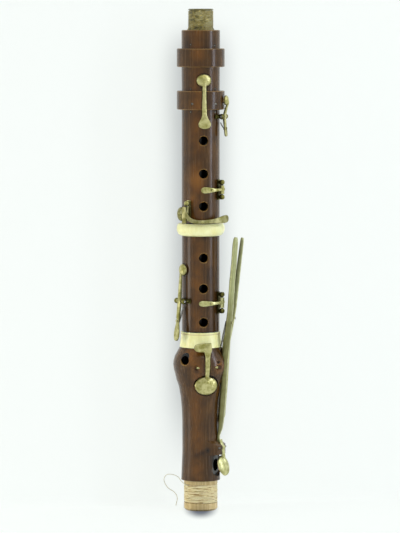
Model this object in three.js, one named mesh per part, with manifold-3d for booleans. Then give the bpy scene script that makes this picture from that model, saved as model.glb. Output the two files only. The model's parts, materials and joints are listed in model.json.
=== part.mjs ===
// Body of an early e-flat clarinet in stained boxwood: upper joint, middle joint and stock,
// with two ivory ferrules, ten brass keys, and laid thread on the tenons.
// Millimetres, +Z up along the bore, finger holes facing -Y, standing on the bell tenon.

import * as THREE from 'three';
import { mergeVertices } from 'three/addons/utils/BufferGeometryUtils.js';
import Module from 'manifold-3d';

const wasm = await Module();
wasm.setup();

// Tube, joints and tenons
const boreRadius = 6.3;
const upperTubeTopRadius = 12.75;
const upperTubeLowRadius = 12.6;
const middleTubeRadius = 12.5;
const stockWaistRadius = 12.3;
const stockFootRadius = 13.05;
const bulgeRadius = 18.4;
const bulgeHeight = 45;
const bellTenonLength = 20.3;
const bellTenonRadius = 11.3;
const bellTenonChamfer = 1.1;
const stockLength = 99.4;
const middleLength = 71.7;
const upperLength = 127.6;
const topTenonLength = 14.1;
const topTenonRadius = 8.4;
const topTenonFlare = 0.9;
const topTenonSeat = 0.6;
const tenonRadius = 9.3;
const middleTenonLength = 15;
const upperTenonLength = 16;
const socketSpare = 1;
const jointSeam = 0.7;
const tenonClearance = 0.3;
const ferruleSleeveRadius = 11.5;
const fitGap = 0.2;
const cutOverrun = 3;

// Thread lapping
const lappingDepth = 0.7;
const lappingInset = 3;
const lappingEndLip = 0.8;
const threadSink = 0.25;
const threadGap = 0.15;
const threadCoreThickness = 0.45;
const threadDiameter = 0.6;
const threadPitch = 1.05;
const threadFromFoot = 5.7;
const threadTurns = 10.8;
const threadStepsPerTurn = 24;
const threadGrooveLow = 5;
const threadGrooveLength = 12.6;
const threadEndAngle = -50;

// Loose end of the thread, from just beyond the winding to the table
const looseThreadDiameter = 0.45;
const looseThreadStep = 1.1;
const looseThreadRoute = [
  [-9.04, -6.41, 17.1],
  [-10.6, -4.9, 17.3],
  [-12.1, -3.2, 18.1],
  [-13.6, -1, 19.5],
  [-15.1, 1.4, 21.8],
  [-18.6, 2.4, 23.4],
  [-21.9, 2.5, 23.6],
  [-23.8, 2.8, 22.1],
  [-24.4, 3.4, 19.6],
  [-23.1, 3.7, 16.3],
  [-20.9, 3.8, 13.7],
  [-18, 3.4, 11.9],
  [-16.1, 3, 9.5],
  [-15.5, 2.7, 6.9],
  [-16.1, 2.5, 4.1],
  [-16.5, 2.4, 2.3],
];

// Turned rings left on the tube to carry keys
const ringRadius = 15.9;
const ringEdge = 0.4;
const speakerRingDrop = 24.4;
const throatRingDrop = 52.6;
const speakerRing = { low: upperLength - speakerRingDrop, height: 12.2 };
const throatRing = { low: upperLength - throatRingDrop, height: 12.4 };
const footBlock = {
  low: 17.1, height: 9.8, radius: 16.6, shoulderDrop: 3, footRise: 0.6,
  fromAngle: 9, fullAngle: 34, fadeAngle: 82, toAngle: 108,
};

// Ivory ferrules: heights above their lower face and radii
const upperFerrule = {
  height: 8.3, lowRadius: 13.3, wideRadius: 16,
  outlineShares: [
    [0, 0], [0.05, 0.3], [0.16, 0.62], [0.33, 0.88], [0.52, 1], [0.74, 0.97], [0.9, 0.8],
    [1, 0.5],
  ],
};
const lowerFerrule = {
  height: 10.3, lowRadius: 14.1, wideRadius: 13.2,
  outlineShares: [[0, 0], [0.12, 0.14], [0.35, 0.5], [0.65, 0.9], [0.9, 0.94], [1, 1]],
};

// Finger holes: height of each above the shoulder of its joint
const fingerHoleRadius = 3.05;
const upperHoleHeights = [11, 32.6, 54.6];
const middleHoleHeights = [6.2, 28.7, 49.2];
const thumbHoleHeight = 60;
const holeRimDepth = 0.9;
const holeRimWidth = 0.45;
const stockHole = { height: 36.7, angle: -46, radius: 3.5 };

// Key work shared by all keys
const pinRadius = 0.75;
const pinGap = 0.15;
const slotGap = 0.3;
const padThickness = 1.7;
const padGap = 0.25;
const padInset = 1;
const padEdge = 0.3;
const cupRecess = 0.7;
const cupSkirt = 0.5;
const bossWall = 0.8;
const ballRadius = 1.8;
const pillarRadius = 1.1;
const saddleThickness = 0.8;
const saddleMargin = 1.4;
const saddleRim = 0.8;
const springThickness = 0.4;
const springWidth = 2.2;
const rivetRadius = 0.6;
const rivetHeadRadius = 0.95;
const rivetHeadHeight = 0.35;
const rivetGap = 0.2;
const sinkRadius = 1.7;
const sinkFloorShare = 0.9;
const sinkReach = 6;
const springTail = 1;
const seatSpare = 0.8;

// The stock: share of the height and of the swelling, in its foot and waist and in its bulge
const waistShares = [[0, 0.123], [0.2, 0.07], [0.43, 0], [0.91, 0.016]];
const bulgeShares = [
  [0.1, 0.074], [0.27, 0.19], [0.41, 0.377], [0.52, 0.656], [0.6, 0.787], [0.67, 0.934],
  [0.745, 1], [0.8, 0.967], [0.87, 0.82], [1, 0.295],
];

// Shares of a touch: how far out along its arm, and how wide there
const spoonShares = [
  [1, 0.24], [0.985, 0.5], [0.95, 0.76], [0.89, 0.95], [0.8, 1], [0.69, 0.8], [0.57, 0.52],
  [0.45, 0.38],
];
const leafShares = [
  [1, 0.24], [0.98, 0.55], [0.94, 0.82], [0.87, 1], [0.75, 0.94], [0.55, 0.7],
];
const slenderShares = [
  [1, 0.24], [0.98, 0.55], [0.94, 0.82], [0.87, 1], [0.72, 0.88], [0.5, 0.62],
];
const cornerShare = 0.24;
const domeShares = [0.3, 0.6, 0.84];
const neckShare = 0.42;
const shaftBendShare = 0.5;
const ridgeShares = [[0.5, 0.72], [0.1, 0.4]];
const bendWidthShare = 0.82;
const springBellyShare = 0.45;
const springWidthShares = [0.55, 1, 0.85, 0.6];
const barrelShare = 1.6;

// Keys whose pin lies across the tube. up is 1 where the touch is above the pin.
const throatKey = {
  name: 'throat_a', angle: 0, up: -1, play: 7, wood: 'upper', foot: 'throatRing', pinHeight: 4,
  pinReach: 13.3,
  touchArm: 16.4, touchReach: 17.2, touchWidth: 8.4, touchThickness: 1.3,
  shaftWidth: 3.1, shaftDepth: 2.2, pivotReach: 14.9, pivotDepth: 3, pinHalf: 8.5,
  padArm: 15.4, cupAcross: 4.9, cupAlong: 4.25, cupHeight: 2.8, toneRadius: 2.8,
  touchShares: spoonShares, rivetArm: 9.5, springArm: 4.9,
};
const speakerKey = {
  name: 'speaker', angle: 180, up: -1, play: 5, wood: 'upper', foot: 'speakerRing', pinHeight: 6.1,
  pinReach: 13.3,
  touchArm: 45, touchReach: 19.8, touchWidth: 8, touchThickness: 1.3,
  shaftWidth: 3.1, shaftDepth: 2, pivotReach: 14.9, pivotDepth: 3, pinHalf: 8.5,
  padArm: 11.7, cupAcross: 4, cupAlong: 3.7, cupHeight: 2.7, toneRadius: 1.6,
  touchShares: [[1, 0.42], [0.985, 0.74], [0.95, 0.98], [0.88, 1], [0.78, 0.5]],
  rivetArm: 18.9, springArm: 7.2, passFloor: 14,
};
const trillKey = {
  name: 'side_trill', angle: 66, up: -1, play: 8, wood: 'upper', foot: 'throatRing',
  pinHeight: -4.6, pinReach: 15.7,
  touchArm: 13.2, touchReach: 17.5, touchWidth: 5.2, touchThickness: 1.1,
  shaftWidth: 2.8, shaftDepth: 1.6, pivotReach: 16.1, pivotDepth: 2,
  padArm: 10.8, cupAcross: 3.2, cupAlong: 3.2, cupHeight: 2.2, toneRadius: 1.8,
  touchShares: leafShares, pillarSpread: 4.4, rivetArm: 7.9, springArm: 4,
};
const rightSideKey = {
  name: 'right_side', angle: -69, up: -1, play: 5, wood: 'middle', foot: 'middle', pinHeight: 20.3,
  pinReach: 15.7, touchArm: 26.4, touchReach: 18.9, touchWidth: 6, touchThickness: 1.3,
  shaftWidth: 2.9, shaftDepth: 1.8, pivotReach: 16.2, pivotDepth: 2.2,
  padArm: 20.7, cupAcross: 3.9, cupAlong: 3.9, cupHeight: 2.6, toneRadius: 2.3,
  touchShares: spoonShares, pillarSpread: 4.6, rivetArm: 13.2, springArm: 4.2,
};
const aFlatKey = {
  name: 'a_flat', angle: 6, up: 1, play: 7, wood: 'stock', foot: 'bulge', pinHeight: 32.6,
  pinReach: 16.6,
  touchArm: 16.4, touchReach: 18.5, touchWidth: 5.2, touchThickness: 1.4,
  shaftWidth: 3.2, shaftDepth: 2.6, pivotReach: 17.4, pivotDepth: 2.8, pinHalf: 7.25,
  padArm: 12.1, cupAcross: 7.75, cupAlong: 6.5, cupHeight: 3.2, toneRadius: 4,
  touchShares: [[1, 0.9], [0.8, 1], [0.62, 0.9], [0.5, 0.7]], rivetArm: 13.6, springArm: 3.4,
  slotFloor: 14.5, seatRadius: 14.2,
  lobeArm: 13.4, lobeReach: 18.3, lobeFrom: 2.6, lobeTo: -9.2, lobeHeight: 6,
  lobeShares: [[0, 0.9], [0.06, 1], [0.5, 0.97], [0.76, 0.92], [0.92, 0.7], [1, 0.35]],
};

// Long levers with their pin in the bulge of the stock. Rows of longShares give the arm, the
// width and the depth; riseShares give how far each row has come towards the touch.
const longShares = [
  [1, 0.45, 0.4], [0.985, 0.85, 0.5], [0.95, 1.1, 0.56], [0.89, 1.15, 0.58],
  [0.79, 1, 0.64], [0.64, 1, 0.7], [0.407, 1, 0.72], [0.25, 1, 0.82], [0.14, 1, 0.95], [0, 1, 1],
];
const longSlot = { low: 9, high: 49, floor: 14.1 };
const fSharpKey = {
  name: 'f_sharp', angle: 84, up: 1, play: 2, wood: 'stock', foot: 'bulge', pinHeight: 38.1,
  pinReach: 16.2,
  touchArm: 79.8, touchReach: 27.8, shaftWidth: 4, shaftDepth: 2.8, pivotReach: 17.1,
  pivotDepth: 4.2, padArm: 41.1, cupAcross: 4.2, cupAlong: 4.2, cupHeight: 2.9, toneRadius: 2.8,
  riseShares: [1, 0.985, 0.955, 0.9, 0.81, 0.68, 0.48, 0.26, 0.07, 0],
  waistArm: 18, waistReach: 16.6, pinEnds: [-3.2, 8.5], rivetArm: 26, springArm: 10,
};
const eKey = {
  name: 'e_natural', angle: 57, up: 1, play: 1.7, wood: 'stock', foot: 'bulge', pinHeight: 35.9,
  pinReach: 16.2,
  touchArm: 83, touchReach: 25.5, shaftWidth: 4, shaftDepth: 3.5, pivotReach: 17,
  pivotDepth: 4.6, lowRise: 26.8, lowReach: 15.7, heelRise: 16.8, heelReach: 14.9,
  heelDepth: 2.6, toeRise: 12.8, toeReach: 14.4, toeDepth: 2, tongueRise: 7.8, tipRise: 3.2,
  tongueThickness: 0.9, tongueShare: 0.76,
  riseShares: [1, 0.985, 0.955, 0.91, 0.84, 0.69, 0.53, 0.35, 0.19, 0],
  waistArm: 15, waistReach: 16.7, pinEnds: [-8.5, 3.2], rivetArm: 26, springArm: 10,
};
const flapKey = {
  name: 'e_natural_flap', angle: 57, up: 1, play: 18, wood: 'stock', foot: 'block', pinHeight: 5.1,
  pinReach: 15.5, tailArm: 5.4, tailReach: 16, tailThickness: 1.2, shaftWidth: 3.4,
  shaftDepth: 2.4, padArm: 11.9, cupAcross: 6.8, cupAlong: 6.8, cupHeight: 3.3, toneRadius: 4.2,
  pinHalf: 5.7, seatHalf: 7.2, tailShares: [[1, 0, 1], [0.6, 0, 1], [0.22, 0.2, 1.4]],
};

// Keys whose pin lies along the tube, between two ball pillars
const leftCrossKey = {
  name: 'left_cross', angle: 55, wood: 'upper', foot: 'upper', pinHeight: 22, pinReach: 15.6,
  touchAngle: -63, padAngle: 45, touchReach: 15.9, touchWidth: 4.3, touchThickness: 1.1,
  shaftWidth: 2, shaftDepth: 1.6, cupAcross: 3.9, cupAlong: 3.9, cupHeight: 2.7,
  toneRadius: 2.3, pillarSpread: 4.9, touchShares: slenderShares,
  rivetAngle: -35, springAngle: -17, springLift: 0.9,
};
const rightCrossKey = {
  name: 'right_cross', angle: 55.5, wood: 'middle', foot: 'middle', pinHeight: 19.1, pinReach: 15.6,
  touchAngle: -68.5, padAngle: 45, touchReach: 15.9, touchWidth: 3.9, touchThickness: 1.1,
  shaftWidth: 2, shaftDepth: 1.6, cupAcross: 3.9, cupAlong: 3.9, cupHeight: 2.7,
  toneRadius: 2.3, pillarSpread: 5.5, touchShares: slenderShares,
  rivetAngle: -38, springAngle: -18.5, springLift: 0.9,
};
const cSharpKey = {
  name: 'c_sharp', angle: -45.4, wood: 'upper', foot: 'upper', pinHeight: 8.2, pinReach: 15.6,
  touchAngle: 107, padAngle: -38.6, touchReach: 19, touchWidth: 5.6, touchThickness: 1.3,
  elbowReach: 18.3, armReach: 17.3, armHeight: 1.15, armWidth: 2.6, touchHeight: 2.9,
  padHeight: 5.6, shaftWidth: 2.4, shaftDepth: 1.6,
  cupAcross: 4.2, cupAlong: 4.5, cupHeight: 2.9, toneRadius: 2.6, pillarSpread: 4.9,
  postWidth: 3.4,
  armShares: [
    [0.01, 0.9, 0.8, 1], [0.02, 0.65, 1, 1], [0.05, 0.4, 1.1, 0.95], [0.105, 0.18, 1.1, 0.8],
    [0.18, 0.05, 1, 0.55], [0.28, 0, 0.92, 0.3], [0.42, 0, 0.9, 0],
  ],
  touchShares: [[0.6, 0.5, 0.2], [0.73, 0.72, 0.45], [0.87, 0.92, 0.8], [0.95, 0.88, 0.92],
    [0.985, 0.66, 0.98], [1, 0.36, 1]],
  rivetAngle: 40, springAngle: 16, springLift: 0.9,
};

// Levels along the tube
const stockBase = bellTenonLength;
const stockTop = stockBase + stockLength;
const middleBase = stockTop + jointSeam;
const middleTop = middleBase + middleLength;
const upperBase = middleTop + jointSeam;
const upperTop = upperBase + upperLength;
const bodyTop = upperTop + topTenonLength;
const seatLevel = upperTop - topTenonSeat;
const socketRadius = tenonRadius + tenonClearance;
const windRadius = bellTenonRadius - threadSink;
const threadCoreRadius = windRadius - threadDiameter / 2 - threadGap;
const threadGrooveRadius = threadCoreRadius - threadCoreThickness - threadGap;
const footLevels = {
  block: stockBase + footBlock.low,
  bulge: stockTop - lowerFerrule.height - bulgeHeight,
  middle: middleBase,
  upper: upperBase,
  throatRing: upperBase + throatRing.low,
  speakerRing: upperBase + speakerRing.low,
};
const tubeRadii = { stock: stockWaistRadius, middle: middleTubeRadius, upper: upperTubeLowRadius };

// Facets and drawing aids
const tubeSegments = 30;
const cupSegments = 16;
const pinSegments = 8;
const ballRings = 6;
const sectorSteps = 3;
const windingSides = 6;
const cordSides = 8;
const degree = Math.PI / 180;
const weldTolerance = 0.0005;
const acrossTube = new THREE.Vector3(1, 0, 0);
const boreLine = new THREE.Vector3();

const clarinet = new THREE.Group();

// Finishes
function finish(color, roughness, metalness) {
  return new THREE.MeshStandardMaterial({ color, roughness, metalness });
}
const boxwood = () => finish(0x644628, 0.42, 0);
const ivory = () => finish(0xe6e0b4, 0.35, 0);
const brass = () => finish(0xa8a45f, 0.38, 0.9);
const leather = () => finish(0x3c362c, 0.85, 0);
const steel = () => finish(0x6e6c66, 0.45, 0.9);
const cork = () => finish(0x78703c, 0.9, 0);
const thread = () => finish(0xd2c890, 0.85, 0);

// Merges equal corners, drops collapsed faces and turns the faces outwards
function weld(geometry) {
  const bare = geometry.clone();
  bare.deleteAttribute('normal');
  bare.deleteAttribute('uv');
  const merged = mergeVertices(bare, weldTolerance);
  const index = merged.index.array;
  const place = merged.attributes.position;
  const corners = [new THREE.Vector3(), new THREE.Vector3(), new THREE.Vector3()];
  const kept = [];
  let volume = 0;
  for (let i = 0; i < index.length; i += 3) {
    const face = [index[i], index[i + 1], index[i + 2]];
    if (new Set(face).size === 3) {
      kept.push(face);
      face.forEach((vertex, k) => corners[k].fromBufferAttribute(place, vertex));
      volume += corners[0].dot(corners[1].cross(corners[2]));
    }
  }
  merged.setIndex(kept.map((face) => (volume < 0 ? face.reverse() : face)).flat());
  return merged;
}

function toSolid(geometry) {
  const closed = weld(geometry);
  return new wasm.Manifold(new wasm.Mesh({
    numProp: 3,
    vertProperties: new Float32Array(closed.attributes.position.array),
    triVerts: new Uint32Array(closed.index.array),
  }));
}

function toGeometry(solid) {
  const mesh = solid.getMesh();
  const geometry = new THREE.BufferGeometry();
  geometry.setAttribute('position', new THREE.BufferAttribute(mesh.vertProperties, 3));
  geometry.setIndex(new THREE.BufferAttribute(mesh.triVerts, 1));
  geometry.computeVertexNormals();
  return geometry;
}

function joined(...geometries) {
  return geometries.map(toSolid).reduce((all, next) => all.add(next));
}

function without(solid, ...geometries) {
  return geometries.reduce((left, next) => left.subtract(toSolid(next)), solid);
}

function addPart(name, solid, material, home = clarinet, pivot = boreLine, tilt = 0) {
  const geometry = toGeometry(solid).translate(-pivot.x, -pivot.y, -pivot.z);
  const mesh = new THREE.Mesh(geometry, material);
  mesh.name = name;
  mesh.position.copy(pivot);
  mesh.rotation.x = tilt;
  home.add(mesh);
}

function mix(a, b, share) {
  return a + (b - a) * share;
}

// A closed wall turned about the bore: its profile of [radius, height] comes back to the start
function turnedWall(profile) {
  const points = [...profile, profile[0]].map(([radius, height]) => (
    new THREE.Vector2(radius, height)));
  return new THREE.LatheGeometry(points, tubeSegments).rotateX(Math.PI / 2);
}

// Key space: the bore is the Z axis, and straight out of the tube at the key is -Y.
// Reach is the distance from the bore.
function outPoint(reach, height, side = 0) {
  return new THREE.Vector3(side, -reach, height);
}
function turnPoint(turn, reach, height) {
  return outPoint(reach, height).applyAxisAngle(new THREE.Vector3(0, 0, 1), turn * degree);
}

// A round piece turned about a line straight out of the tube, from [radius, reach] points
function turnedOutward(profile, height, acrossShare) {
  const points = profile.map(([radius, reach]) => new THREE.Vector2(radius, reach));
  return new THREE.LatheGeometry(points, cupSegments).rotateX(Math.PI)
    .scale(acrossShare, 1, 1).translate(0, 0, height);
}

function outwardPeg(radius, from, to, height, side = 0, segments = cupSegments) {
  return new THREE.CylinderGeometry(radius, radius, to - from, segments)
    .translate(side, -(from + to) / 2, height);
}

function crossPeg(radius, from, to, reach, height) {
  return new THREE.CylinderGeometry(radius, radius, to - from, pinSegments)
    .rotateZ(Math.PI / 2).translate((from + to) / 2, -reach, height);
}

function uprightPeg(radius, low, high, reach) {
  return new THREE.CylinderGeometry(radius, radius, high - low, pinSegments)
    .rotateX(Math.PI / 2).translate(0, -reach, (low + high) / 2);
}

function block(width, fromReach, toReach, low, high) {
  return new THREE.BoxGeometry(width, toReach - fromReach, high - low)
    .translate(0, -(fromReach + toReach) / 2, (low + high) / 2);
}

// A closed skin over a row of rings that have equal numbers of points
function skin(rings) {
  const count = rings[0].length;
  const last = (rings.length - 1) * count;
  const faces = [];
  for (let i = 0; i < last; i += count) {
    for (let k = 0; k < count; k++) {
      const a = i + k;
      const b = i + (k + 1) % count;
      faces.push(a, b, b + count, a, b + count, a + count);
    }
  }
  for (let k = 1; k + 1 < count; k++) {
    faces.push(0, k + 1, k, last, last + k, last + k + 1);
  }
  const geometry = new THREE.BufferGeometry().setFromPoints(rings.flat());
  geometry.setIndex(faces);
  return geometry;
}

// A section with cut corners, or with square ones for a thin leaf: station gives its place,
// width and thickness
function oblong(station, across, lift) {
  const w = station.width / 2;
  const t = station.thick / 2;
  const c = cornerShare * Math.min(station.width, station.thick);
  const corners = station.thick === springThickness ? [[w, -t], [w, t], [-w, t], [-w, -t]] : [
    [w, c - t], [w, t - c], [w - c, t], [c - w, t],
    [-w, t - c], [-w, c - t], [c - w, -t], [w - c, -t],
  ];
  return corners.map(([u, v]) => (
    station.at.clone().addScaledVector(across, u).addScaledVector(lift, v)));
}

function courseAt(stations, i) {
  const before = stations[Math.max(i - 1, 0)].at;
  const after = stations[Math.min(i + 1, stations.length - 1)].at;
  return after.clone().sub(before).normalize();
}

// A forged bar whose width lies across the tube all the way
function bar(stations) {
  return skin(stations.map((station, i) => {
    const lift = new THREE.Vector3().crossVectors(courseAt(stations, i), acrossTube);
    return oblong(station, acrossTube, lift.normalize());
  }));
}

// A strap bent round the tube: its thickness faces straight out all the way
function strap(stations) {
  return skin(stations.map((station, i) => {
    const along = courseAt(stations, i);
    const lift = new THREE.Vector3(station.at.x, station.at.y, 0);
    lift.addScaledVector(along, -lift.dot(along)).normalize();
    return oblong(station, new THREE.Vector3().crossVectors(along, lift), lift);
  }));
}

// The reach of a flat cut across a round tube to a stated half width
function flatReach(radius, halfWidth) {
  return Math.sqrt(radius * radius - halfWidth * halfWidth);
}

// How far inwards a point goes when a key turns through its play
function sweepOf(arm, angle) {
  return arm * Math.sin(angle * degree);
}

const cuts = { upper: [], middle: [], stock: [] };

// Cuts are made in key space, turned to the key's angle and kept for the wood of its joint
function cutWood(key, ...geometries) {
  cuts[key.wood].push(...geometries.map((geometry) => geometry.rotateZ(key.angle * degree)));
}

function keyGroup(key) {
  const group = new THREE.Group();
  group.rotation.z = key.angle * degree;
  clarinet.add(group);
  return group;
}

function pinLevelOf(key) {
  return footLevels[key.foot] + key.pinHeight;
}

const bossRadius = pinRadius + pinGap + bossWall;

// The levels of a cup that closes on a seat; its neck is the middle of the shaft above it
function cupLevels(key, seat) {
  const rim = seat + padGap + padThickness - cupRecess;
  const roof = rim + cupRecess + padGap;
  return { seat, rim, roof, neck: roof + key.shaftDepth / 2 + fitGap };
}

// A domed cup with a recess below for the pad
function cupShape(key, levels, height) {
  const recess = key.cupAlong - padInset + padGap;
  const skirt = levels.rim + cupSkirt;
  const dome = domeShares.map((share) => [
    key.cupAlong * Math.cos(share * Math.PI / 2),
    skirt + (key.cupHeight - cupSkirt) * Math.sin(share * Math.PI / 2),
  ]);
  const crown = [0, levels.rim + key.cupHeight];
  const profile = [
    [0, levels.roof], [recess, levels.roof], [recess, levels.rim],
    [key.cupAlong, levels.rim], [key.cupAlong, skirt], ...dome, crown,
  ];
  return turnedOutward(profile, height, key.cupAcross / key.cupAlong);
}

function padShape(key, levels, height) {
  const radius = key.cupAlong - padInset;
  const low = levels.seat + padGap;
  const high = low + padThickness;
  const profile = [
    [0, low], [radius - padEdge, low], [radius, low + padEdge], [radius, high], [0, high],
  ];
  return turnedOutward(profile, height, key.cupAcross / key.cupAlong);
}

// The flat seat round a tone hole, and the hole down to the bore
function seatCuts(key, levels, height) {
  const seat = outwardPeg(key.cupAlong + seatSpare, levels.seat, bulgeRadius + cutOverrun, 0)
    .scale(key.cupAcross / key.cupAlong, 1, 1).translate(0, 0, height);
  return [seat, outwardPeg(key.toneRadius, 0, levels.seat + cutOverrun, height)];
}

// Where the shaft runs out as a ridge on the dome: arms are measured from the pin
function ridgeStations(key, levels, place) {
  return ridgeShares.map(([cupShare, widthShare]) => ({
    at: place(-(key.padArm - key.cupAlong * cupShare), levels.neck),
    width: key.shaftWidth * widthShare,
    thick: key.shaftDepth * widthShare,
  }));
}

// A lever from the tip of its touch, over the pin, to the dome of its cup
function leverStations(key, levels) {
  const place = (arm, reach) => outPoint(reach, pinLevelOf(key) + key.up * arm);
  const touchLevel = (share) => mix(key.pivotReach, key.touchReach, share);
  const shaft = { width: key.shaftWidth, thick: key.shaftDepth };
  return [
    ...key.touchShares.map(([armShare, widthShare]) => ({
      at: place(key.touchArm * armShare, touchLevel(armShare)),
      width: key.touchWidth * widthShare,
      thick: key.touchThickness,
    })),
    { ...shaft, at: place(key.touchArm * neckShare, touchLevel(neckShare)) },
    { ...shaft, at: place(0, key.pivotReach), thick: key.pivotDepth },
    {
      at: place(-key.padArm * shaftBendShare, mix(key.pivotReach, levels.neck, shaftBendShare)),
      width: key.shaftWidth * bendWidthShare,
      thick: key.shaftDepth,
    },
    ...ridgeStations(key, levels, place),
  ];
}

// The place and thickness of a lever at a height, read between its stations
function leverAt(stations, height) {
  const i = stations.findIndex((station, k) => k > 0
    && (station.at.z - height) * (stations[k - 1].at.z - height) <= 0);
  const last = stations[i - 1];
  const next = stations[i];
  const share = (height - last.at.z) / (next.at.z - last.at.z);
  return { reach: -mix(last.at.y, next.at.y, share), thick: mix(last.thick, next.thick, share) };
}

// A flat spring: a leaf from its rivet under the lever to its free end near the wood
function springShape(from, tip, over, shape) {
  const outward = new THREE.Vector3(from.x, from.y, 0).normalize();
  const back = from.clone().sub(tip);
  back.addScaledVector(outward, -back.dot(outward)).setLength(springTail);
  const belly = from.clone().lerp(tip, springBellyShare)
    .addScaledVector(outward, -springThickness / 2);
  const places = [from.clone().add(back), from, belly, tip];
  const leaf = shape(places.map((at, i) => ({
    at,
    width: springWidth * springWidthShares[i],
    thick: springThickness,
  })));
  const reach = Math.hypot(from.x, from.y);
  const turn = Math.atan2(from.x, -from.y);
  const head = over + rivetGap;
  const shank = outwardPeg(rivetRadius, reach, head + rivetHeadHeight / 2, from.z, 0, pinSegments);
  const cap = outwardPeg(rivetHeadRadius, head, head + rivetHeadHeight, from.z, 0, pinSegments);
  return joined(leaf, shank.rotateZ(turn), cap.rotateZ(turn));
}

function rivetHole(over, height, turn = 0) {
  return outwardPeg(rivetRadius + rivetGap, boreRadius, over + cutOverrun, height, 0, pinSegments)
    .rotateZ(turn);
}

// Adds the spring of a lever that lies along the tube, and gives the hole for its rivet
function addSpring(key, group, stations, woodReach) {
  const pinLevel = pinLevelOf(key);
  const rivetLevel = pinLevel + key.up * key.rivetArm;
  const lever = leverAt(stations, rivetLevel);
  const over = lever.reach + lever.thick / 2;
  const under = lever.reach - lever.thick / 2 - rivetGap - springThickness / 2;
  const tipReach = woodReach + sweepOf(key.springArm, key.play) + springThickness;
  const tip = outPoint(tipReach, pinLevel + key.up * key.springArm);
  addPart(`${key.name}_spring`, springShape(outPoint(under, rivetLevel), tip, over, bar),
    steel(), group, outPoint(key.pinReach, pinLevel));
  return rivetHole(over, rivetLevel);
}

function addCup(key, group, levels, padLevel, pivot, tilt = 0) {
  addPart(`${key.name}_pad`, toSolid(padShape(key, levels, padLevel)), leather(),
    group, pivot, tilt);
  cutWood(key, ...seatCuts(key, levels, padLevel));
  return cupShape(key, levels, padLevel);
}

// Lever and pin on a line across the tube; pinEnds are its ends to the left and right
function addAcross(key, group, shapes, holes, halfBoss, pinEnds, tilt = 0) {
  const pinLevel = pinLevelOf(key);
  const pivot = outPoint(key.pinReach, pinLevel);
  const boss = crossPeg(bossRadius, -halfBoss, halfBoss, key.pinReach, pinLevel);
  const pinHole = crossPeg(pinRadius + pinGap, pinEnds[0] - fitGap, pinEnds[1] + fitGap,
    key.pinReach, pinLevel);
  addPart(`${key.name}_lever`, without(joined(...shapes, boss), pinHole, ...holes), brass(),
    group, pivot, tilt);
  addPart(`${key.name}_pin`, toSolid(
    crossPeg(pinRadius, pinEnds[0], pinEnds[1], key.pinReach, pinLevel)), steel(), group);
  return pinHole;
}

// The wood is sunk round the ends of a pin, a little below them
function pinSinks(key, pinEnds) {
  return pinEnds.map((end) => {
    const floor = end * sinkFloorShare;
    const far = floor + Math.sign(end) * sinkReach;
    return crossPeg(sinkRadius, Math.min(floor, far), Math.max(floor, far), key.pinReach,
      pinLevelOf(key));
  });
}

// The slot that a lever lies in, with a deeper pocket for its boss, and the hole for its pin
function cutSlot(key, pinHole, floor, low, high) {
  const pinLevel = pinLevelOf(key);
  const width = key.shaftWidth + 2 * slotGap;
  const pocket = bossRadius + slotGap;
  const over = bulgeRadius + cutOverrun;
  cutWood(key, pinHole, block(width, floor, over, low, high));
  if (key.pinReach - pocket < floor) {
    cutWood(key, block(width, key.pinReach - pocket, over, pinLevel - pocket, pinLevel + pocket));
  }
}

// A key whose lever lies in a slot; shapes are any further forms of its lever
function addSlotKey(key, seat, stations, springSeat, pinEnds, ...shapes) {
  const group = keyGroup(key);
  const pinLevel = pinLevelOf(key);
  const levels = cupLevels(key, seat);
  const pivot = outPoint(key.pinReach, pinLevel);
  const cup = addCup(key, group, levels, pinLevel - key.up * key.padArm, pivot);
  const course = stations(key, levels);
  const hole = addSpring(key, group, course, springSeat);
  return addAcross(key, group, [bar(course), cup, ...shapes], [hole], key.shaftWidth / 2,
    pinEnds);
}

function addRingKey(key, ring) {
  const tubeRadius = tubeRadii.upper;
  const pinHole = addSlotKey(key, flatReach(tubeRadius, key.cupAcross), leverStations,
    tubeRadius, [-key.pinHalf, key.pinHalf]);
  const low = upperBase + ring.low;
  cutSlot(key, pinHole, tubeRadius - fitGap, low - fitGap, low + ring.height + fitGap);
}

// The speaker lever passes over the lower ring, which is notched for it
function cutPassage(key, ring) {
  const low = upperBase + ring.low;
  cutWood(key, block(key.shaftWidth * barrelShare + 2 * slotGap, key.passFloor,
    ringRadius + cutOverrun, low - fitGap, low + ring.height + fitGap));
}

// The side lobe of the a-flat touch, a plate that runs across the shaft
function lobeShape(key) {
  const level = pinLevelOf(key) + key.lobeArm;
  return skin(key.lobeShares.map(([sideShare, heightShare]) => oblong({
    at: outPoint(key.lobeReach, level, mix(key.lobeFrom, key.lobeTo, sideShare)),
    width: key.lobeHeight * heightShare,
    thick: key.touchThickness,
  }, new THREE.Vector3(0, 0, 1), new THREE.Vector3(0, -1, 0))));
}

function addFlatKey(key) {
  const seat = flatReach(key.seatRadius, key.cupAcross);
  const pinEnds = [-key.pinHalf, key.pinHalf];
  const pinHole = addSlotKey(key, seat, leverStations, key.slotFloor, pinEnds, lobeShape(key));
  const padLevel = pinLevelOf(key) - key.padArm;
  cutSlot(key, pinHole, key.slotFloor, padLevel, stockTop);
  cutWood(key, ...pinSinks(key, pinEnds));
}

// The upper arm of a long lever, from its touch down to the pin
function longArm(key) {
  return longShares.map(([armShare, widthShare, depthShare], i) => ({
    at: outPoint(mix(key.pivotReach, key.touchReach, key.riseShares[i]),
      pinLevelOf(key) + key.touchArm * armShare),
    width: key.shaftWidth * widthShare,
    thick: key.pivotDepth * depthShare,
  }));
}

function lowStation(key, arm, reach, thick, widthShare = 1) {
  return {
    at: outPoint(reach, pinLevelOf(key) - arm), width: key.shaftWidth * widthShare, thick,
  };
}

function longPadStations(key, levels) {
  const place = (arm, reach) => outPoint(reach, pinLevelOf(key) + arm);
  return [
    ...longArm(key), lowStation(key, key.waistArm, key.waistReach, key.shaftDepth),
    ...ridgeStations(key, levels, place),
  ];
}

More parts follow.
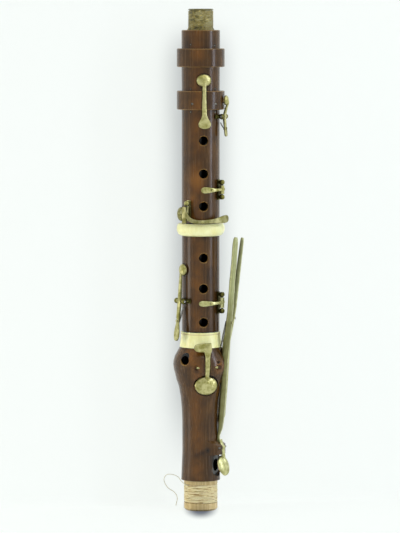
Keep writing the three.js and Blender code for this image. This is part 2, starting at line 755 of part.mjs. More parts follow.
function cutLongSlot(key, pinHole) {
  cutSlot(key, pinHole, longSlot.floor, footLevels.bulge + longSlot.low,
    footLevels.bulge + longSlot.high);
}

function addLongPadKey(key) {
  const seat = flatReach(stockWaistRadius, key.cupAcross);
  cutLongSlot(key, addSlotKey(key, seat, longPadStations, longSlot.floor, key.pinEnds));
}

// The arm of the tongue lever at a rise above the pin of the flap
function armAtRise(key, rise) {
  return pinLevelOf(key) - pinLevelOf(flapKey) - rise;
}

// At full press the tongue just meets the inner face of the closed flap's tail
function tongueReach(key) {
  const tailFace = flapKey.tailReach - flapKey.tailThickness / 2;
  const tipArm = armAtRise(key, key.tipRise) + fitGap;
  return tailFace - padGap - sweepOf(tipArm, key.play) - key.tongueThickness / 2;
}

// The long lever that ends in a tongue under the tail of the flap
function addTongueKey(key) {
  const group = keyGroup(key);
  const low = (rise, reach, thick, share = 1) => (
    lowStation(key, armAtRise(key, rise), reach, thick, share));
  const tongue = (rise) => low(rise, tongueReach(key), key.tongueThickness, key.tongueShare);
  const course = [
    ...longArm(key),
    lowStation(key, key.waistArm, key.waistReach, key.shaftDepth),
    low(key.lowRise, key.lowReach, key.shaftDepth),
    low(key.heelRise, key.heelReach, key.heelDepth),
    low(key.toeRise, key.toeReach, key.toeDepth),
    tongue(key.tongueRise), tongue(key.tipRise),
  ];
  const hole = addSpring(key, group, course, longSlot.floor);
  cutLongSlot(key, addAcross(key, group, [bar(course)], [hole], key.shaftWidth / 2,
    key.pinEnds));
}

// The flap stands open at rest; it is drawn closed and turned open about its pin
function addFlap(key) {
  const group = keyGroup(key);
  const pinLevel = pinLevelOf(key);
  const tilt = -key.play * degree;
  const levels = cupLevels(key, flatReach(stockFootRadius, key.seatHalf));
  const pivot = outPoint(key.pinReach, pinLevel);
  const cup = addCup(key, group, levels, pinLevel - key.padArm, pivot, tilt);
  const place = (arm, reach) => outPoint(reach, pinLevel + arm);
  const course = [
    ...key.tailShares.map(([armShare, sinkShare, depthShare]) => ({
      at: place(key.tailArm * armShare, mix(key.tailReach, key.pinReach, sinkShare)),
      width: key.shaftWidth,
      thick: key.tailThickness * depthShare,
    })),
    lowStation(key, 0, key.pinReach, key.shaftDepth),
    ...ridgeStations(key, levels, place),
  ];
  const pinHole = addAcross(key, group, [bar(course), cup], [], key.shaftWidth / 2,
    [-key.pinHalf, key.pinHalf], tilt);
  cutSlot(key, pinHole, stockWaistRadius - fitGap, footLevels.block - fitGap,
    footLevels.block + footBlock.height + fitGap);
}

// A curved saddle plate on the tube, between two turns about the bore
function saddlePlate(tubeRadius, halfTurn, low, high) {
  const inner = tubeRadius + fitGap;
  const from = -halfTurn - Math.PI / 2;
  const to = halfTurn - Math.PI / 2;
  const sector = new THREE.Shape();
  sector.absarc(0, 0, inner + saddleThickness, from, to, false);
  sector.absarc(0, 0, inner, to, from, true);
  return new THREE.ExtrudeGeometry(sector, {
    depth: high - low, bevelEnabled: false, curveSegments: sectorSteps,
  }).translate(0, 0, low);
}

function ball(reach, height, side = 0) {
  return new THREE.SphereGeometry(ballRadius, pinSegments, ballRings)
    .translate(side, -reach, height);
}

// A side key: its saddle carries two ball pillars, one on each side of the lever
function addSideKey(key, seatRadius) {
  const group = keyGroup(key);
  const tubeRadius = tubeRadii[key.wood];
  const pinLevel = pinLevelOf(key);
  const levels = cupLevels(key, flatReach(seatRadius, key.cupAcross));
  const course = leverStations(key, levels);
  const pivot = outPoint(key.pinReach, pinLevel);
  const cup = addCup(key, group, levels, pinLevel - key.up * key.padArm, pivot);
  const hole = addSpring(key, group, course, tubeRadius);
  const pinEnd = key.pillarSpread + ballRadius - fitGap;
  const pinHole = addAcross(key, group, [bar(course), cup], [hole],
    key.pillarSpread - ballRadius - slotGap, [-pinEnd, pinEnd]);
  const rim = key.pillarSpread + pillarRadius;
  const foot = flatReach(tubeRadius + saddleThickness, rim);
  const pillars = [-key.pillarSpread, key.pillarSpread].flatMap((side) => [
    outwardPeg(pillarRadius, foot, key.pinReach, pinLevel, side, pinSegments),
    ball(key.pinReach, pinLevel, side),
  ]);
  const plate = saddlePlate(tubeRadius, (rim + saddleRim) / tubeRadius,
    pinLevel - saddleMargin, pinLevel + saddleMargin);
  addPart(`${key.name}_saddle`, without(joined(plate, ...pillars), pinHole), brass(), group);
}

// The saddle of a cross key: its two ball pillars stand above each other
function addCrossSaddle(key, group) {
  const tubeRadius = tubeRadii[key.wood];
  const pinLevel = pinLevelOf(key);
  const pinEnd = key.pillarSpread + ballRadius;
  const pinHole = uprightPeg(pinRadius + pinGap, pinLevel - pinEnd, pinLevel + pinEnd,
    key.pinReach);
  const pillars = [-key.pillarSpread, key.pillarSpread].flatMap((rise) => [
    outwardPeg(pillarRadius, tubeRadius + saddleThickness / 2, key.pinReach, pinLevel + rise, 0,
      pinSegments),
    ball(key.pinReach, pinLevel + rise),
  ]);
  const rim = key.pillarSpread + pillarRadius + saddleRim;
  const plate = saddlePlate(tubeRadius, saddleMargin / tubeRadius, pinLevel - rim,
    pinLevel + rim);
  addPart(`${key.name}_saddle`, without(joined(plate, ...pillars), pinHole), brass(), group);
  addPart(`${key.name}_pin`, toSolid(uprightPeg(pinRadius, pinLevel - pinEnd + fitGap,
    pinLevel + pinEnd - fitGap, key.pinReach)), steel(), group);
  return pinHole;
}

// Lever, pad and spring of a cross key. Its cup stands at a turn from the pin.
function addCrossParts(key, group, shapes, levels, padLevel, pinHole) {
  const pinLevel = pinLevelOf(key);
  const pivot = outPoint(key.pinReach, pinLevel);
  const turn = key.padAngle * degree;
  cutWood(key, ...seatCuts(key, levels, padLevel).map((cut) => cut.rotateZ(turn)));
  const halfBarrel = key.pillarSpread - ballRadius - slotGap;
  const barrel = uprightPeg(bossRadius, pinLevel - halfBarrel, pinLevel + halfBarrel,
    key.pinReach);
  const cup = cupShape(key, levels, padLevel).rotateZ(turn);
  const over = key.rivetReach + key.touchThickness / 2;
  const under = key.rivetReach - key.touchThickness / 2 - rivetGap - springThickness / 2;
  const from = turnPoint(key.rivetAngle, under, key.rivetLevel);
  const tip = turnPoint(key.springAngle, tubeRadii[key.wood] + key.springLift, key.rivetLevel);
  const hole = rivetHole(over, key.rivetLevel, key.rivetAngle * degree);
  addPart(`${key.name}_lever`, without(joined(...shapes, barrel, cup), pinHole, hole), brass(),
    group, pivot);
  addPart(`${key.name}_pad`, toSolid(padShape(key, levels, padLevel).rotateZ(turn)),
    leather(), group, pivot);
  addPart(`${key.name}_spring`, springShape(from, tip, over, strap), steel(), group, pivot);
}

// The shaft from the pin to the cup of a cross key
function padShaft(key, levels, padLevel, start) {
  const shaft = { width: key.shaftWidth, thick: key.shaftDepth };
  const cupTurn = Math.sign(key.padAngle) * key.cupAlong / levels.neck / degree;
  const bendLevel = mix(pinLevelOf(key), padLevel, shaftBendShare);
  const bendReach = mix(key.pinReach, levels.neck, shaftBendShare);
  return [
    start,
    { ...shaft, at: turnPoint(key.padAngle * shaftBendShare, bendReach, bendLevel) },
    ...ridgeShares.map(([cupShare, widthShare]) => ({
      at: turnPoint(key.padAngle - cupTurn * cupShare, levels.neck, padLevel),
      width: key.shaftWidth * widthShare,
      thick: key.shaftDepth * widthShare,
    })),
  ];
}

// A short key that lies round the tube, with a leaf-shaped touch over the front
function addCrossKey(key) {
  const group = keyGroup(key);
  const pinLevel = pinLevelOf(key);
  const levels = cupLevels(key, flatReach(tubeRadii[key.wood], key.cupAcross));
  const pinHole = addCrossSaddle(key, group);
  const shaft = { width: key.shaftWidth, thick: key.shaftDepth };
  const barrelDepth = key.shaftDepth * barrelShare;
  const middle = { ...shaft, at: outPoint(key.pinReach, pinLevel), thick: barrelDepth };
  const touch = key.touchShares.map(([turnShare, widthShare]) => ({
    at: turnPoint(key.touchAngle * turnShare, key.touchReach, pinLevel),
    width: key.touchWidth * widthShare,
    thick: key.touchThickness,
  }));
  const neck = { ...shaft, at: turnPoint(key.touchAngle * neckShare, key.touchReach, pinLevel) };
  const shape = strap([...touch, neck, ...padShaft(key, levels, pinLevel, middle)]);
  const rivet = { rivetReach: key.touchReach, rivetLevel: pinLevel };
  addCrossParts({ ...key, ...rivet }, group, [shape], levels, pinLevel, pinHole);
}

// The long cross key whose arm runs round the front, just above the upper ferrule
function addArmKey(key) {
  const group = keyGroup(key);
  const pinLevel = pinLevelOf(key);
  const base = footLevels[key.foot];
  const armLevel = base + key.armHeight;
  const levels = cupLevels(key, flatReach(tubeRadii[key.wood], key.cupAcross));
  const pinHole = addCrossSaddle(key, group);
  const halfBarrel = key.pillarSpread - ballRadius - slotGap;
  const arm = key.armShares.map(([turnShare, dropShare, widthShare, reachShare]) => ({
    at: turnPoint(key.touchAngle * turnShare, mix(key.armReach, key.elbowReach, reachShare),
      mix(armLevel, pinLevel + halfBarrel, dropShare)),
    width: key.armWidth * widthShare,
    thick: key.touchThickness,
  }));
  const touch = key.touchShares.map(([turnShare, widthShare, riseShare]) => ({
    at: turnPoint(key.touchAngle * turnShare, mix(key.armReach, key.touchReach, riseShare),
      mix(armLevel, base + key.touchHeight, riseShare)),
    width: key.touchWidth * widthShare,
    thick: key.touchThickness,
  }));
  const post = strap([pinLevel + halfBarrel, armLevel - key.armWidth * neckShare].map((level) => ({
    at: outPoint(key.elbowReach, level), width: key.postWidth, thick: key.touchThickness,
  })));
  const web = block(key.shaftWidth, key.pinReach, key.elbowReach, pinLevel - halfBarrel + slotGap,
    pinLevel + halfBarrel - slotGap);
  const start = {
    at: outPoint(mix(key.pinReach, key.elbowReach, shaftBendShare), pinLevel),
    width: key.shaftWidth,
    thick: key.shaftDepth,
  };
  const padLevel = base + key.padHeight;
  const shapes = [
    strap([...arm, ...touch]), post, web, strap(padShaft(key, levels, padLevel, start)),
  ];
  const rivet = { rivetReach: key.armReach, rivetLevel: armLevel };
  addCrossParts({ ...key, ...rivet }, group, shapes, levels, padLevel, pinHole);
}

function tubeHole(radius, height, angle = 0) {
  return outwardPeg(radius, 0, bulgeRadius + cutOverrun, height).rotateZ(angle * degree);
}

// A finger hole whose rim is worn wider at the surface of the tube
function fingerHole(tubeRadius, height, angle = 0) {
  const wide = fingerHoleRadius + holeRimWidth;
  const top = tubeRadius + cutOverrun;
  return turnedOutward([
    [0, 0], [fingerHoleRadius, 0], [fingerHoleRadius, tubeRadius - holeRimDepth],
    [wide, tubeRadius], [wide, top], [0, top],
  ], height, 1).rotateZ(angle * degree);
}

// The outline of a turned ring as [radius, height] points
function ringOutline(base, ring, radius, tubeRadius) {
  const low = base + ring.low;
  const high = low + ring.height;
  return [
    [tubeRadius, low], [radius - ringEdge, low], [radius, low + ringEdge],
    [radius, high - ringEdge], [radius - ringEdge, high], [tubeRadius, high],
  ];
}

// A tenon that points down, with its lapping groove, from its end to its shoulder
function tenonOutline(shoulder, length) {
  const end = shoulder - length;
  const groove = tenonRadius - lappingDepth;
  return [
    [boreRadius, end], [tenonRadius - ringEdge, end], [tenonRadius, end + ringEdge],
    [tenonRadius, end + lappingInset], [groove, end + lappingInset],
    [groove, shoulder - lappingInset], [tenonRadius, shoulder - lappingInset],
    [tenonRadius, shoulder],
  ];
}

// The socket at the top of a joint, and the thin sleeve of wood under its ferrule
function socketOutline(top, ferruleHeight, tenonLength) {
  return [
    [ferruleSleeveRadius, top - ferruleHeight], [ferruleSleeveRadius, top],
    [socketRadius, top], [socketRadius, top - tenonLength - socketSpare],
    [boreRadius, top - tenonLength - socketSpare],
  ];
}

function stockShape() {
  const grooveTop = threadGrooveLow + threadGrooveLength;
  const swelling = (low, high) => ([heightShare, radiusShare]) => [
    mix(stockWaistRadius, bulgeRadius, radiusShare), mix(low, high, heightShare),
  ];
  const outline = [
    ...waistShares.map(swelling(stockBase, footLevels.bulge)),
    ...bulgeShares.map(swelling(footLevels.bulge, stockTop - lowerFerrule.height)),
  ];
  const body = toSolid(turnedWall([
    [boreRadius, 0], [bellTenonRadius - bellTenonChamfer, 0],
    [bellTenonRadius, bellTenonChamfer], [bellTenonRadius, threadGrooveLow],
    [threadGrooveRadius, threadGrooveLow], [threadGrooveRadius, grooveTop], [bellTenonRadius, grooveTop],
    [bellTenonRadius, stockBase], ...outline,
    ...socketOutline(stockTop, lowerFerrule.height, middleTenonLength),
  ]));
  const tone = tubeHole(stockHole.radius, footLevels.bulge + stockHole.height, stockHole.angle);
  return without(body.add(footBlockShape()), tone, ...cuts.stock);
}

// What is left of a turned ring at the foot, scooped away at both its ends
function footBlockShape() {
  const { height, radius, shoulderDrop, footRise } = footBlock;
  const low = footLevels.block;
  const high = low + height;
  const ring = toSolid(turnedWall([
    [tenonRadius, low], [stockWaistRadius, low], [radius, low + footRise],
    [radius, high - shoulderDrop], [stockWaistRadius, high], [tenonRadius, high],
  ]));
  const front = -Math.PI / 2;
  const outer = footBlock.radius + fitGap;
  const corner = (reach, angle) => [
    reach * Math.cos(angle * degree + front), reach * Math.sin(angle * degree + front),
  ];
  const plan = new THREE.Shape();
  plan.moveTo(0, 0);
  plan.lineTo(...corner(stockWaistRadius, footBlock.fromAngle));
  plan.absarc(0, 0, outer, footBlock.fullAngle * degree + front,
    footBlock.fadeAngle * degree + front, false);
  plan.lineTo(...corner(stockWaistRadius, footBlock.toAngle));
  plan.lineTo(0, 0);
  const over = height + 2 * cutOverrun;
  const wedge = new THREE.ExtrudeGeometry(plan, {
    depth: over, bevelEnabled: false, curveSegments: sectorSteps,
  }).translate(0, 0, low - cutOverrun);
  return ring.intersect(toSolid(wedge));
}

function middleShape() {
  const body = toSolid(turnedWall([
    ...tenonOutline(middleBase, middleTenonLength), [middleTubeRadius, middleBase],
    [middleTubeRadius, middleTop - upperFerrule.height],
    ...socketOutline(middleTop, upperFerrule.height, upperTenonLength),
  ]));
  const holes = middleHoleHeights.map((height) => (
    fingerHole(middleTubeRadius, middleBase + height)));
  return without(body, ...holes, ...cuts.middle);
}

// The thread of the top tenon starts in a shallow seat in the shoulder
function upperShape() {
  const core = topTenonRadius - lappingDepth;
  const seat = topTenonRadius + topTenonFlare + fitGap;
  const body = toSolid(turnedWall([
    ...tenonOutline(upperBase, upperTenonLength), [upperTubeLowRadius, upperBase],
    ...ringOutline(upperBase, throatRing, ringRadius, upperTubeLowRadius),
    ...ringOutline(upperBase, speakerRing, ringRadius, upperTubeTopRadius),
    [upperTubeTopRadius, upperTop - ringEdge], [upperTubeTopRadius - ringEdge, upperTop],
    [seat, upperTop], [seat, seatLevel], [core, seatLevel],
    [core, bodyTop - lappingEndLip], [topTenonRadius, bodyTop - lappingEndLip],
    [topTenonRadius, bodyTop - lappingEndLip / 2], [core, bodyTop], [boreRadius, bodyTop],
  ]));
  const holes = upperHoleHeights.map((height) => (
    fingerHole(upperTubeLowRadius, upperBase + height)));
  const thumb = fingerHole(upperTubeTopRadius, upperBase + thumbHoleHeight, speakerKey.angle);
  return without(body, ...holes, thumb, ...cuts.upper);
}

function ferruleShape(ferrule, top) {
  const inner = ferruleSleeveRadius + fitGap;
  const outline = ferrule.outlineShares.map(([heightShare, radiusShare]) => [
    mix(ferrule.lowRadius, ferrule.wideRadius, radiusShare),
    mix(top - ferrule.height + fitGap, top, heightShare),
  ]);
  return toSolid(turnedWall([...outline, [inner, top], [inner, outline[0][1]]]));
}

// A thread lapping in the groove of a tenon, a little fuller in the middle
function lappingShape(shoulder, length) {
  const low = shoulder - length + lappingInset + fitGap;
  const high = shoulder - lappingInset - fitGap;
  const inner = tenonRadius - lappingDepth + fitGap / 2;
  const outer = tenonRadius + fitGap / 2;
  return toSolid(turnedWall([[inner, low], [outer, low], [outer, high], [inner, high]]));
}

function topLappingShape() {
  const inner = topTenonRadius - lappingDepth + fitGap / 2;
  const low = seatLevel + fitGap;
  const high = bodyTop - lappingEndLip - fitGap;
  return toSolid(turnedWall([
    [inner, low], [topTenonRadius + topTenonFlare, low],
    [topTenonRadius + topTenonFlare / 2, low + topTenonFlare],
    [topTenonRadius, low + topTenonFlare * 2], [topTenonRadius, high], [inner, high],
  ]));
}

function threadCoreShape() {
  const low = threadGrooveLow + fitGap;
  const high = threadGrooveLow + threadGrooveLength - fitGap;
  const inner = threadCoreRadius - threadCoreThickness;
  return toSolid(turnedWall([
    [inner, low], [threadCoreRadius, low], [threadCoreRadius, high], [inner, high],
  ]));
}

// The wound thread: a straight start, the turns, and a straight end
class Winding extends THREE.Curve {
  constructor() {
    super();
    this.turnLength = Math.hypot(2 * Math.PI * windRadius, threadPitch);
    this.woundLength = this.turnLength * threadTurns;
    this.fullLength = this.woundLength + 2 * threadDiameter;
  }

  woundPoint(length) {
    const turns = length / this.turnLength;
    const angle = threadEndAngle * degree + (threadTurns - turns) * 2 * Math.PI;
    return new THREE.Vector3(windRadius * Math.sin(angle), -windRadius * Math.cos(angle),
      threadFromFoot + turns * threadPitch);
  }

  getPoint(share) {
    const length = share * this.fullLength - threadDiameter;
    const wound = Math.min(Math.max(length, 0), this.woundLength);
    const inside = wound > 0 ? wound - threadDiameter : threadDiameter;
    const point = this.woundPoint(wound);
    const course = point.clone().sub(this.woundPoint(inside)).setLength(Math.abs(length - wound));
    return length === wound ? point : point.add(course);
  }

  // The least gap of the thread to itself, measured one turn further on
  leastGap() {
    const step = this.turnLength / threadStepsPerTurn;
    const near = [-1, 0, 1].map((k) => this.turnLength + k * step);
    let least = threadPitch;
    for (let at = 0; at + this.turnLength + step < this.woundLength; at += step) {
      const here = this.woundPoint(at);
      near.forEach((away) => {
        least = Math.min(least, here.distanceTo(this.woundPoint(at + away)));
      });
    }
    return least - threadDiameter;
  }
}

function tubeAlong(curve, diameter, sides, steps) {
  const section = new THREE.Shape();
  section.absarc(0, 0, diameter / 2, 0, 2 * Math.PI, false);
  return toSolid(new THREE.ExtrudeGeometry(section, {
    steps, extrudePath: curve, curveSegments: sides / 2, bevelEnabled: false,
  }));
}

function windingShape() {
  const winding = new Winding();
  console.log(`winding: least gap ${winding.leastGap().toFixed(3)} mm`);
  return tubeAlong(winding, threadDiameter, windingSides,
    Math.round(threadTurns * threadStepsPerTurn) + 2);
}

function looseThreadShape() {
  const route = new THREE.CatmullRomCurve3(
    looseThreadRoute.map((point) => new THREE.Vector3(...point)));
  const length = route.getLength();
  console.log(`loose thread: ${length.toFixed(1)} mm long`);
  return tubeAlong(route, looseThreadDiameter, cordSides, Math.round(length / looseThreadStep));
}

addRingKey(throatKey, throatRing);
addRingKey(speakerKey, speakerRing);
cutPassage(speakerKey, throatRing);
addSideKey(trillKey, ringRadius);
addSideKey(rightSideKey, tubeRadii.middle);
addFlatKey(aFlatKey);
addLongPadKey(fSharpKey);
addTongueKey(eKey);
addFlap(flapKey);
addCrossKey(leftCrossKey);
addCrossKey(rightCrossKey);
addArmKey(cSharpKey);

addPart('upper_joint', upperShape(), boxwood());
addPart('middle_joint', middleShape(), boxwood());
addPart('stock', stockShape(), boxwood());
addPart('upper_ferrule', ferruleShape(upperFerrule, middleTop), ivory());
addPart('lower_ferrule', ferruleShape(lowerFerrule, stockTop), ivory());
addPart('top_tenon_lapping', topLappingShape(), thread());
addPart('upper_tenon_lapping', lappingShape(upperBase, upperTenonLength), thread());
addPart('middle_tenon_lapping', lappingShape(middleBase, middleTenonLength), thread());
addPart('bell_tenon_thread_core', threadCoreShape(), cork());
addPart('bell_tenon_thread', windingShape(), thread());
addPart('loose_thread_end', looseThreadShape(), thread());

// The bore stays upright; the origin moves below the middle of the solid parts
const box = new THREE.Box3();
clarinet.updateMatrixWorld(true);
clarinet.traverse((part) => {
  if (part.isMesh && part.name !== 'loose_thread_end') {
    box.expandByObject(part, true);
  }
});
const middle = box.getCenter(new THREE.Vector3()).setZ(0);
clarinet.children.forEach((child) => child.position.sub(middle));

export default clarinet;
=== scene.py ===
import json
import math
import random

import bmesh
import bpy
from mathutils import Matrix, Vector
from mathutils.bvhtree import BVHTree

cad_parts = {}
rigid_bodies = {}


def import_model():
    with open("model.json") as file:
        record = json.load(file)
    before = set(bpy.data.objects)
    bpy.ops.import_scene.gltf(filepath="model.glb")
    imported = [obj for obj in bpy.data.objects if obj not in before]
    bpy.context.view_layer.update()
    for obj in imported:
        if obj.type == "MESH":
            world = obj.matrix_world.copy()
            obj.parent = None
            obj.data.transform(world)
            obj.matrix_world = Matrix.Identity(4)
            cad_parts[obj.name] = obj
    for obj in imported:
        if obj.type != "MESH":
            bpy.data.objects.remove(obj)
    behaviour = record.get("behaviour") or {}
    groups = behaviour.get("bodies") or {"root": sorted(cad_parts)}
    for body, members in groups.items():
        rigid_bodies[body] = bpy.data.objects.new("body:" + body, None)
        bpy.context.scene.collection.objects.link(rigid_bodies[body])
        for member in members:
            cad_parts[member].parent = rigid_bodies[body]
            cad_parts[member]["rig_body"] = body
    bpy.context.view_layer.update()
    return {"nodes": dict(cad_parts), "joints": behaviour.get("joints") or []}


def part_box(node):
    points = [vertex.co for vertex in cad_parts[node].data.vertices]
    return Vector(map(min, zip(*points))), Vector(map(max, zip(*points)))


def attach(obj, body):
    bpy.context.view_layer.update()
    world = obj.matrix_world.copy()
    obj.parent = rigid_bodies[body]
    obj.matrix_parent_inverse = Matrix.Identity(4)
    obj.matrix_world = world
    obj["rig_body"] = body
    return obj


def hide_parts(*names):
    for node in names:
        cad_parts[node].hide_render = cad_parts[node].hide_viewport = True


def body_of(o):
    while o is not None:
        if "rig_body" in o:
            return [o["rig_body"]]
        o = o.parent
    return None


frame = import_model()
mm = 0.001
upward = Vector((0, 0, 1))

# The bore runs up the middle of the middle joint
lowSide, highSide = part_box("middle_joint")
bore = Vector(((lowSide.x + highSide.x) / 2, (lowSide.y + highSide.y) / 2, 0))
print("bore axis at", [round(value / mm, 2) for value in bore])


# Colours are written as sRGB hex values
def linear(hexText):
    def channel(start):
        value = int(hexText[start:start + 2], 16) / 255
        return value / 12.92 if value <= 0.04045 else ((value + 0.055) / 1.055) ** 2.4
    return (channel(1), channel(3), channel(5), 1)


# Short names of the nodes used most, each with the output that is read and its settings.
# Inputs 6 and 7 and output 2 of a Mix node are its colours.
kinds = {
    "noise": ("ShaderNodeTexNoise", "Fac", {}),
    "ramp": ("ShaderNodeValToRGB", "Color", {}),
    "range": ("ShaderNodeMapRange", "Result", {"interpolation_type": "SMOOTHSTEP"}),
    "mix": ("ShaderNodeMix", 2, {"data_type": "RGBA"}),
    "bump": ("ShaderNodeBump", "Normal", {}),
    "length": ("ShaderNodeVectorMath", "Value", {"operation": "LENGTH"}),
    "distance": ("ShaderNodeVectorMath", "Value", {"operation": "DISTANCE"}),
    "dot": ("ShaderNodeVectorMath", "Value", {"operation": "DOT_PRODUCT"}),
    "sum": ("ShaderNodeMath", "Value", {"operation": "ADD"}),
    "difference": ("ShaderNodeMath", "Value", {"operation": "SUBTRACT"}),
    "multiply": ("ShaderNodeMath", "Value", {"operation": "MULTIPLY"}),
    "power": ("ShaderNodeMath", "Value", {"operation": "POWER"}),
    "absolute": ("ShaderNodeMath", "Value", {"operation": "ABSOLUTE"}),
    "maximum": ("ShaderNodeMath", "Value", {"operation": "MAXIMUM"}),
    "lessThan": ("ShaderNodeMath", "Value", {"operation": "LESS_THAN"}),
    "greaterThan": ("ShaderNodeMath", "Value", {"operation": "GREATER_THAN"}),
}


# Adds a node with its settings. Its inputs, by name or in order, are values or links
# from sockets, and a node stands for its first output.
def add(tree, kind, inputs=(), stops=(), **settings):
    fullName, output, preset = kinds.get(kind, (kind, None, {}))
    node = tree.nodes.new(fullName)
    for name, value in {**preset, **settings}.items():
        setattr(node, name, value)
    while stops and len(node.color_ramp.elements) < len(stops):
        node.color_ramp.elements.new(0.5)
    for element, (place, colour) in zip(node.color_ramp.elements if stops else (), stops):
        element.position, element.color = place, linear(colour)
    for name, value in inputs.items() if isinstance(inputs, dict) else enumerate(inputs):
        if isinstance(value, bpy.types.Node):
            value = value.outputs[0]
        if isinstance(value, bpy.types.NodeSocket):
            tree.links.new(value, node.inputs[name])
        else:
            node.inputs[name].default_value = value
    return node if output is None else node.outputs[output]


def startMaterial(name):
    material = bpy.data.materials.new(name)
    material.use_nodes = True
    material.node_tree.nodes.clear()
    return material, material.node_tree


# Places in millimetres from the bore axis, stretched per axis: a noise with a scale of
# one over a size then has patches of that many mm
def millimetres(tree, stretch=(1, 1, 1)):
    centred = add(tree, "ShaderNodeMapping", {
        "Vector": add(tree, "ShaderNodeTexCoord").outputs["Object"],
        "Location": tuple(-value / mm for value in bore), "Scale": (1 / mm,) * 3,
    })
    stretched = add(tree, "ShaderNodeMapping", {"Vector": centred, "Scale": stretch})
    return stretched.outputs["Vector"]


# Boxwood stained with acid and oiled: an even brown with long dark streaks, a satin
# gloss from the oil, and bare orange wood where fingers and cloths have rubbed it.
# Sizes and places are in mm. A range is two levels of a pattern, then what they become.
# Bald places are x, y, z and a reach; places of soot and painted shade are x, y, z, a reach
# and a strength; a prick is an angle from the front, a distance from the bore and a height.
boxwood = {
    "stops": [(0.32, "#28190b"), (0.5, "#452d11"), (0.66, "#593c19")],
    "streakWidth": 1.6, "streakStretch": 0.045, "fibreWidth": 0.35, "patch": 14,
    "roughness": (0.3, 0.7, 0.16, 0.32), "gloss": 0.33, "fibreDepth": 0.03,
    "rubbed": "#684013", "rubbedSide": -4.2, "rubbedWidth": 6.5, "rubbedFront": (-2, -9),
    "rubbedPatches": (0.38, 0.62, 0.25, 0.85),
    "rim": "#80602f", "rimPatches": (0.3, 0.55, 0.35, 1),
    "bare": "#d9c391", "bareDark": "#b89e68", "bareStreaks": (0.36, 0.64, 0.15, 0.8),
    "tenonTop": (20.2, 20.0), "lip": "#625c2e", "lipFrom": 333.2,
    "grime": "#1c150e", "dust": 0.8, "dustRange": (0.64, 0.78), "dustShare": 0.2,
    "bald": [(11.0, -15.0, 97.0, 5.0), (-9.5, -13.4, 103.5, 6.0), (-4.5, -15.5, 96.5, 4.0),
             (-4.0, -12.2, 221.0, 6.0), (-6.0, -11.0, 207.0, 4.5)],
    "baldColour": "#7c4f1e", "baldEdge": (1.3, 0.3), "baldPatches": (0.35, 0.6, 0.35, 0.8),
    "sootAndShade": [(9.5, -7.5, 34.2, 8.5, 0.85), (-5.6, -12.8, 38, 2.8, 0.55),
             (-3.4, -13.6, 38.7, 2.8, 0.7), (-1, -14, 39.6, 3.2, 0.85),
             (2.4, -13.8, 41, 3.2, 0.85), (-5.3, -16.2, 95.0, 3.0, 0.7),
             (10.4, -13.6, 96.6, 2.6, 0.6)],
    "pricks": [(-41, 12.9, 281.6), (41, 12.9, 281.6), (-41, 12.7, 266.4), (41, 12.7, 266.4),
               (-41, 13.0, 310.9), (38, 13.0, 310.2)],
    "prickDark": (1.275, 0.6, 0, 0.8), "prickMiddle": (0.4875, 0.375), "prickLight": "#8d8a7c",
    "inside": "#0c0a0b", "boreReach": 7.0, "holeReach": 11.6, "holesFrom": 21.0, "holesTo": 319.9,
    "stockHole": (-9.35, -9.03, 102.0), "stockHoleReach": 5.25,
}


